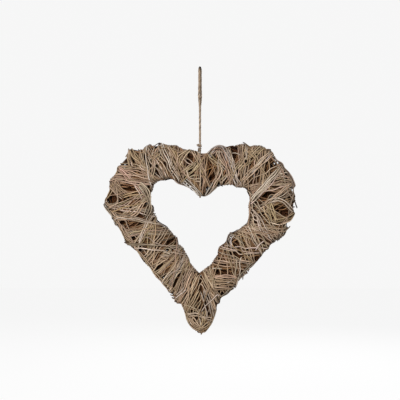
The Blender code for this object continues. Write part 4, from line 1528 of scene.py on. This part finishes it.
close_daylight(19)


# ---------------------------------------------------- from lines to meshes
def lean_points(p, step, turn):
    """Fewer points where the line is straight, more where it turns."""
    seg = np.diff(p, axis=0)
    ln = np.linalg.norm(seg, axis=1) + 1e-9
    d = seg / ln[:, None]
    ang = np.arccos(np.clip((d[1:] * d[:-1]).sum(1), -1, 1))
    w = ln / step
    w[1:] += ang / (2 * turn)
    w[:-1] += ang / (2 * turn)
    s = np.concatenate([[0], np.cumsum(w)])
    n = max(3, int(round(s[-1])) + 1)
    at_ = np.linspace(0, s[-1], n)
    return np.column_stack([np.interp(at_, s, p[:, c]) for c in range(3)])


MID, HALF_W = (OUT + INN) / 2, WIDTH / 2


def outward(p):
    """Which way is out of the band at each point."""
    res = np.empty_like(p)
    for lo in range(0, len(p), 400):
        q = p[lo:lo + 400]
        xz = q[:, [0, 2]]
        d = xz[:, None, :] - MID[None, RK, :]
        u = (d * UNIT[None, RK, :]).sum(2)
        v = np.abs(d[:, :, 0] * UNIT[None, RK, 1] - d[:, :, 1] * UNIT[None, RK, 0])
        v = v + np.maximum(0, np.abs(u) - HALF_W[None, RK] - 14) * 9
        k = np.argmin(v, 1)
        u = u[np.arange(len(q)), k]
        k = RK[k]
        side = u / HALF_W[k] ** 2
        front = q[:, 1] / DEP[k] ** 2
        n = np.column_stack([UNIT[k, 0] * side, front, UNIT[k, 1] * side])
        res[lo:lo + 400] = n / (np.linalg.norm(n, axis=1)[:, None] + 1e-9)
    return res


VINE = fibre_material("vine", 2.6, 0.00035, 0.66, 1.26, 0.20, 0.82)
# sides, step, turn and shade: painted shade, darker for each layer that lies deeper, stands in for the shade between
# the upper strands
MESHING = {"deep": (4, 8.5, 0.8, (0.55, 0.455, 0.41)), "under": (5, 6.0, 0.55, (0.56, 0.445, 0.355)),
           "over": (6, 4.6, 0.42, (0.82, 0.77, 0.72)), "top": (6, 4.2, 0.40, (1.0, 1.0, 1.0)),
           "bent": (6, 4.2, 0.40, (1.0, 1.0, 1.0)), "stray": (5, 4.2, 0.40, (1.0, 1.0, 1.0))}


def vine_piece(name, group, seed):
    rng = np.random.default_rng(seed)
    tubes = Tubes()
    for st in group:
        sides, step, turn, shade = MESHING[st.kind]
        p = lean_points(st.pts, step, turn)
        s = np.concatenate([[0], np.cumsum(np.linalg.norm(np.diff(p, axis=0), axis=1))])
        ph = rng.uniform(0, 6.28, 5)
        r = st.radius * (1 + 0.08 * np.sin(s / 9.0 + ph[0]) + 0.06 * np.sin(s / 3.7 + ph[1]))
        r[0] *= 0.7
        r[-1] *= 0.7
        f = (1 + 0.13 * np.sin(s / 21.0 + ph[2]) + 0.09 * np.sin(s / 7.3 + ph[3]))
        knots = max(2, int(s[-1] / 45.0) + 2)
        f = f * np.interp(s, np.linspace(0, s[-1], knots), np.exp(rng.normal(0, 0.19, knots)))
        # the layer's painted shade goes into the strand's colour
        tint = st.tint[None, :] * f[:, None] * np.array(shade)[None, :]
        # paler tints go greyer and darker ones browner; the tint already holds the painted depth shade, so this also
        # warms that painted shade
        tint = tint * (tint[:, 1:2] / 0.17) ** np.array([[-0.10, 0.0, 0.16]])
        # the strands' sides are painted dark to the flank share, as shade between them
        tubes.add(p, r, sides, np.clip(tint, 0.004, 0.9), rng.uniform(0, 60), up=outward(p), painted_flank_shade=(0.065, 0.028, 0.012))
    ob = tubes.mesh(name, VINE)
    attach(ob, "root")
    print(name, len(group), "strands", sum(len(q.vertices) - 2 for q in ob.data.polygons), "triangles")
    return ob


# Cut ends that stand out of the winding: tip (x, z), how far back it reaches
# along the edge (sign gives the direction) and inwards, and its tone.
STUBS = [
    (-45.5, -350.0, 9, 7, "brown"), (-43.2, -354.0, 12, 6, "tan"), (29.8, -362.0, -10, 6, "tan"),
    (66.0, -326.5, 10, 7, "pink"), (1.5, -410.0, 8, 8, "brown"), (149.8, -216.0, 12, 5, "grey"),
    (139.0, -244.5, -11, 6, "tan"), (-61.7, -115.6, 12, 6, "grey"), (66.3, -114.6, -13, 6, "grey"),
    (108.9, -127.0, 11, 6, "brown"), (-110.0, -124.6, 12, 6, "tan"),
]
stub_rng = np.random.default_rng(61)
for x, z, back, inward, tone in STUBS:
    tip = np.array([x, z])
    k = float(np.argmin(np.linalg.norm(OUT - tip, axis=1)))
    u = at(UNIT, k)
    t = OUT[int(k + 6) % NS] - OUT[int(k - 6) % NS]
    t /= np.linalg.norm(t)
    base = tip - u * (inward + 2.0) - t * back
    xz, c = route_of(base, tip, stub_rng.normal(0, 0.8), 0.4, stub_rng.uniform(0, 1))
    face = 0 if stub_rng.random() < 0.8 else 1
    y = lay(upper, face, xz, c, R0, sunk=1.5)
    add_line([(xz, c, y, face)], R0 * stub_rng.uniform(0.75, 1.0), tone_colour(tone, stub_rng), "top")

groups = {}
for st in strands:
    groups.setdefault(st.kind, []).append(st)
made = [vine_piece("vine_deep", groups["deep"], 71)]
half = len(groups["under"]) // 2
made.append(vine_piece("vine_under_first", groups["under"][:half], 72))
made.append(vine_piece("vine_under_second", groups["under"][half:], 73))
made.append(vine_piece("vine_over", groups["over"], 74))
made.append(vine_piece("vine_bent", groups["bent"] + groups["stray"], 76))
made.append(vine_piece("vine_top", groups["top"], 75))
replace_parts(made[-1], "vine_winding")

# ---------------------------------------------------------------- the knot
knot_tubes = Tubes()
wrap = []
WRAPS = 2.15
for j in range(46):
    f = j / 45
    a = math.radians(150) + WRAPS * 2 * math.pi * f
    r = 2.25 + 0.12 * math.sin(5 * a)
    wrap.append((r * math.cos(a) - 0.7, -r * math.sin(a), KNOT_TOP - 1.3 - 3.1 * f))
plied(knot_tubes, smooth_path(wrap, 3), ply=0.56, offset=0.50, pitch=7.0, step=0.9, phase=0.7,
      darkening=lambda q: np.full(len(q), 0.72))
over = [(1.7, 0.6, -121.4), (1.9, -1.5, -121.6), (0.7, -3.0, -121.0), (-1.2, -3.3, -120.2),
        (-2.7, -2.6, -119.5), (-4.0, -1.9, -119.2), (-4.9, -1.6, -119.4)]
plied(knot_tubes, smooth_path(over), ply=0.52, offset=0.48, pitch=6.4, step=0.9, phase=2.0,
      taper=lambda f: 1 - 0.25 * f**3)
core = [(0.0, 0.0, KNOT_TOP - 0.6), (0.1, 0.0, -119.5), (0.0, 0.0, KNOT_BOTTOM + 0.5)]
plied(knot_tubes, smooth_path(core, 5), ply=0.75, offset=0.6, pitch=6.0, step=1.0)
knot = knot_tubes.mesh("loop_knot_twine", JUTE)
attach(knot, "root")
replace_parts(knot, "loop_knot")

# ----------------------------------------------------------------- the tie
tie_tubes = Tubes()
plied(tie_tubes, tie_path, ply=0.68, offset=0.60, pitch=8.0, phase=1.3,
      darkening=lambda q: 0.95 - 0.4 * np.clip((q[:, 2] + 136.0) / 5.0, 0, 1))
# the tie's own knot, below the loop's, and its cut end
hitch = []
for j in range(52):
    f = j / 51
    a = math.radians(200) + 2.9 * 2 * math.pi * f
    r = 1.75 + 0.3 * math.sin(1.3 * a)
    hitch.append((r * math.cos(a) - 0.75, -2.3 * math.sin(a), TIE_START_Z - 0.9 - 5.2 * f))
hitch += [(-2.6, -2.2, TIE_START_Z - 6.9), (-3.4, -2.6, TIE_START_Z - 8.0)]
plied(tie_tubes, smooth_path(hitch, 3), ply=0.58, offset=0.52, pitch=6.6, step=0.9, phase=0.4,
      darkening=lambda q: np.full(len(q), 0.55))
tie = tie_tubes.mesh("twine_tie_plied", JUTE)
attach(tie, "root")
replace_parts(tie, "twine_tie")

fuzz_rng = np.random.default_rng(77)
fuzz_tubes = Tubes()
hairs(fuzz_tubes, LOOP_PATH, 210, fuzz_rng)
hairs(fuzz_tubes, smooth_path(wrap, 3), 36, fuzz_rng)
hairs(fuzz_tubes, smooth_path(over)[-40:], 26, fuzz_rng, reach=(1.2, 3.2), out=0.8)
fuzz = fuzz_tubes.mesh("twine_fuzz", JUTE)
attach(fuzz, "root")
tie_fuzz_tubes = Tubes()
hairs(tie_fuzz_tubes, tie_path, 90, fuzz_rng, reach=(0.7, 2.0))
tie_fuzz = tie_fuzz_tubes.mesh("tie_fuzz", JUTE)
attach(tie_fuzz, "root")


# --------------------------------------------------------------- the wires
def iron_material(name):
    m, N, L, p = new_material(name)
    geo = N.new("ShaderNodeTexCoord")
    spots = N.new("ShaderNodeTexNoise")
    spots.inputs["Scale"].default_value = 260.0
    spots.inputs["Detail"].default_value = 4.0
    L.new(geo.outputs["Object"], spots.inputs["Vector"])
    ramp = N.new("ShaderNodeValToRGB")
    e = ramp.color_ramp.elements
    e[0].position, e[0].color = 0.35, (*srgb(46, 38, 34), 1)
    e[1].position, e[1].color = 0.68, (*srgb(88, 66, 52), 1)
    L.new(spots.outputs["Fac"], ramp.inputs["Fac"])
    L.new(ramp.outputs["Color"], p.inputs["Base Color"])
    p.inputs["Roughness"].default_value = 0.62
    p.inputs["Metallic"].default_value = 0.35
    bump = N.new("ShaderNodeBump")
    bump.inputs["Strength"].default_value = 0.4
    bump.inputs["Distance"].default_value = 0.0002
    L.new(spots.outputs["Fac"], bump.inputs["Height"])
    L.new(bump.outputs["Normal"], p.inputs["Normal"])
    return m


IRON = iron_material("frame_wire")


def closed_wire(name, line, radius, sides=10):
    """A wire bent into a closed outline in the X-Z plane."""
    n = len(line)
    p = np.column_stack([line[:, 0], np.zeros(n), line[:, 1]])
    t = np.roll(p, -1, 0) - np.roll(p, 1, 0)
    t /= np.linalg.norm(t, axis=1)[:, None]
    a = np.tile([0.0, 1.0, 0.0], (n, 1))
    b = np.cross(t, a)
    ang = np.arange(sides) * 2 * math.pi / sides
    v = p[:, None, :] + radius * (np.cos(ang)[None, :, None] * a[:, None, :] + np.sin(ang)[None, :, None] * b[:, None, :])
    i = np.arange(n)[:, None]
    i2 = (i + 1) % n
    j = np.arange(sides)[None, :]
    j2 = (j + 1) % sides
    q = np.stack([i * sides + j, i * sides + j2, i2 * sides + j2, i2 * sides + j], -1).reshape(-1, 4)
    me = bpy.data.meshes.new(name)
    me.from_pydata((v.reshape(-1, 3) * MM).tolist(), [], q.tolist())
    me.shade_smooth()
    me.materials.append(IRON)
    ob = bpy.data.objects.new(name, me)
    scene.collection.objects.link(ob)
    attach(ob, "root")
    return ob


for edge, name in (("O", "outer_wire"), ("I", "inner_wire")):
    line = EDGE[edge][::4]
    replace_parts(closed_wire(name + "_iron", line, WIRE_R), name)

# ------------------------------------------------------------------- stage
BACK = 0.925
bpy.ops.mesh.primitive_plane_add(size=6, location=(0, 0, -0.62))
floor = bpy.context.object
floor.name = "floor"
fm, N, L, p = new_material("floor")
p.inputs["Base Color"].default_value = (0.0, 0.0, 0.0, 1)
p.inputs["Roughness"].default_value = 1.0
p.inputs["Specular IOR Level"].default_value = 0.0
out = N["Material Output"]
diff = N.new("ShaderNodeBsdfDiffuse")
diff.inputs["Color"].default_value = (0.06, 0.06, 0.06, 1)
glow = N.new("ShaderNodeEmission")
glow.inputs["Color"].default_value = (1, 1, 1, 1)
glow.inputs["Strength"].default_value = 0.86
both = N.new("ShaderNodeAddShader")
L.new(diff.outputs[0], both.inputs[0])
L.new(glow.outputs[0], both.inputs[1])
L.new(both.outputs[0], out.inputs["Surface"])
floor.data.materials.append(fm)

world = bpy.data.worlds.new("studio")
scene.world = world
world.use_nodes = True
world.node_tree.nodes["Background"].inputs["Color"].default_value = (BACK, BACK, BACK, 1)
world.node_tree.nodes["Background"].inputs["Strength"].default_value = 1.0


def area(name, loc, size, power, target=(0, 0, -0.25)):
    d = bpy.data.lights.new(name, "AREA")
    d.size = size
    d.energy = power
    o = bpy.data.objects.new(name, d)
    scene.collection.objects.link(o)
    o.location = loc
    o.rotation_euler = (Vector(target) - Vector(loc)).to_track_quat("-Z", "Y").to_euler()
    return o


area("key", (-0.42, -1.28, 0.05), 0.55, 35)
area("back", (0.3, 1.2, 0.4), 0.8, 22)
scene.view_settings.view_transform = "Standard"
